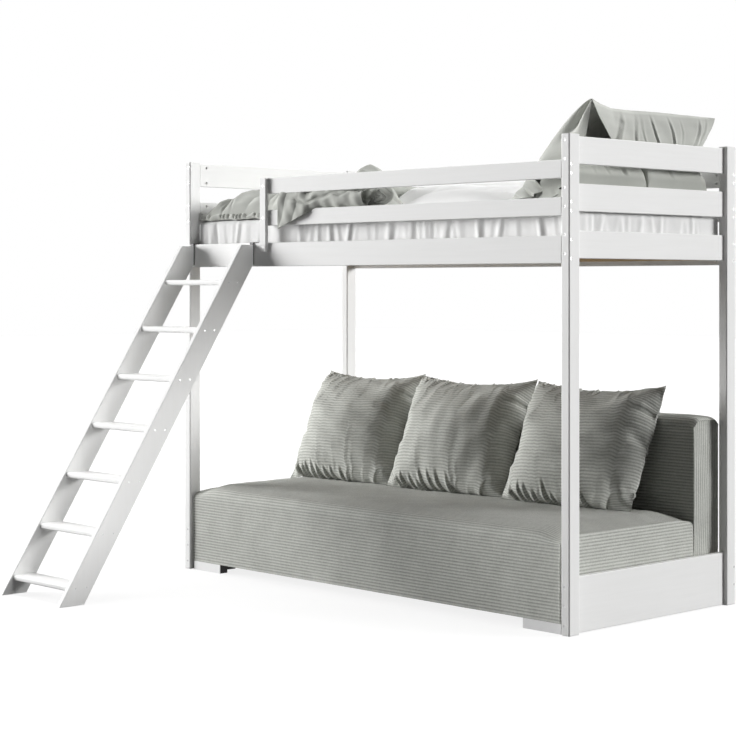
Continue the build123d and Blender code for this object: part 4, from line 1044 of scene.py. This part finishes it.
# Light: a broad soft key low on the left that reaches in under the bunk, a second from the
# right and behind, one from above, a small lamp at the sofa's left end and one on the
# ladder, and a dim surround that shows white behind the bed.
world = bpy.data.worlds.new("studio")
bpy.context.scene.world = world
world.use_nodes = True
sky_tree = world.node_tree
sky = sky_tree.nodes["Background"]
sky.inputs["Color"].default_value = (1, 1, 1, 1)
sky_level = add_node(sky_tree, "MapRange", Value=white_rays(sky_tree), To_Min=0.03, To_Max=1.0)
sky_tree.links.new(sky_level.outputs[0], sky.inputs["Strength"])


def add_lamp(name, kind, place, target, power):
    """A lamp at a place, pointed at a target."""
    lamp = bpy.data.lights.new(name, kind)
    lamp.energy = power
    stand = bpy.data.objects.new(name, lamp)
    stand.location = Vector(place)
    stand.rotation_euler = (Vector(place) - Vector(target)).to_track_quat("Z", "Y").to_euler()
    bpy.context.scene.collection.objects.link(stand)
    return lamp


add_lamp("left_light", "SUN", (-5.1, -2.5, 0.95), (0, 0, 0), 4.95).angle = math.radians(30)
add_lamp("right_light", "SUN", (4.15, 3.75, 1.35), (0, 0, 0), 3.22).angle = math.radians(24)
add_lamp("top_light", "SUN", (-0.4, 0.9, 4.0), (0, 0, 0), 2.1).angle = math.radians(30)
add_lamp("side_light", "AREA", (-2.7, -1.9, 0.5), (-0.4, 0.1, 0.35), 14.0).size = 1.2
ladder_lamp = add_lamp("ladder_light", "SPOT", (2.2, -0.78, 0.85), (-1.2, -0.80, 0.78), 75.0)
ladder_lamp.shadow_soft_size = 0.25
ladder_lamp.spot_size = math.radians(41)
ladder_lamp.spot_blend = 0.35


# Camera: level, at chest height off the front right corner, with the picture shifted
# so that the uprights stay upright.
picture_pixels = 736
focal_pixels = 1860.0412
middle_pixel_x, middle_pixel_y = 300.0, 284.1889
from_bed_corner = (6.1291, -4.9346, 1.1985)
turn_to_bed = 0.8310
eye = bpy.data.cameras.new("photograph_camera")
eye.sensor_width = 36.0
eye.lens = focal_pixels * eye.sensor_width / picture_pixels
eye.shift_x = (picture_pixels / 2 - middle_pixel_x) / picture_pixels
eye.shift_y = (middle_pixel_y - picture_pixels / 2) / picture_pixels
eye.clip_end = 100
camera = bpy.data.objects.new("photograph_camera", eye)
camera.location = bed_corner + from_bed_corner
camera.rotation_euler = (math.pi / 2, 0, turn_to_bed)
bpy.context.scene.collection.objects.link(camera)
bpy.context.scene.camera = camera
bpy.context.scene.view_settings.view_transform = "Standard"
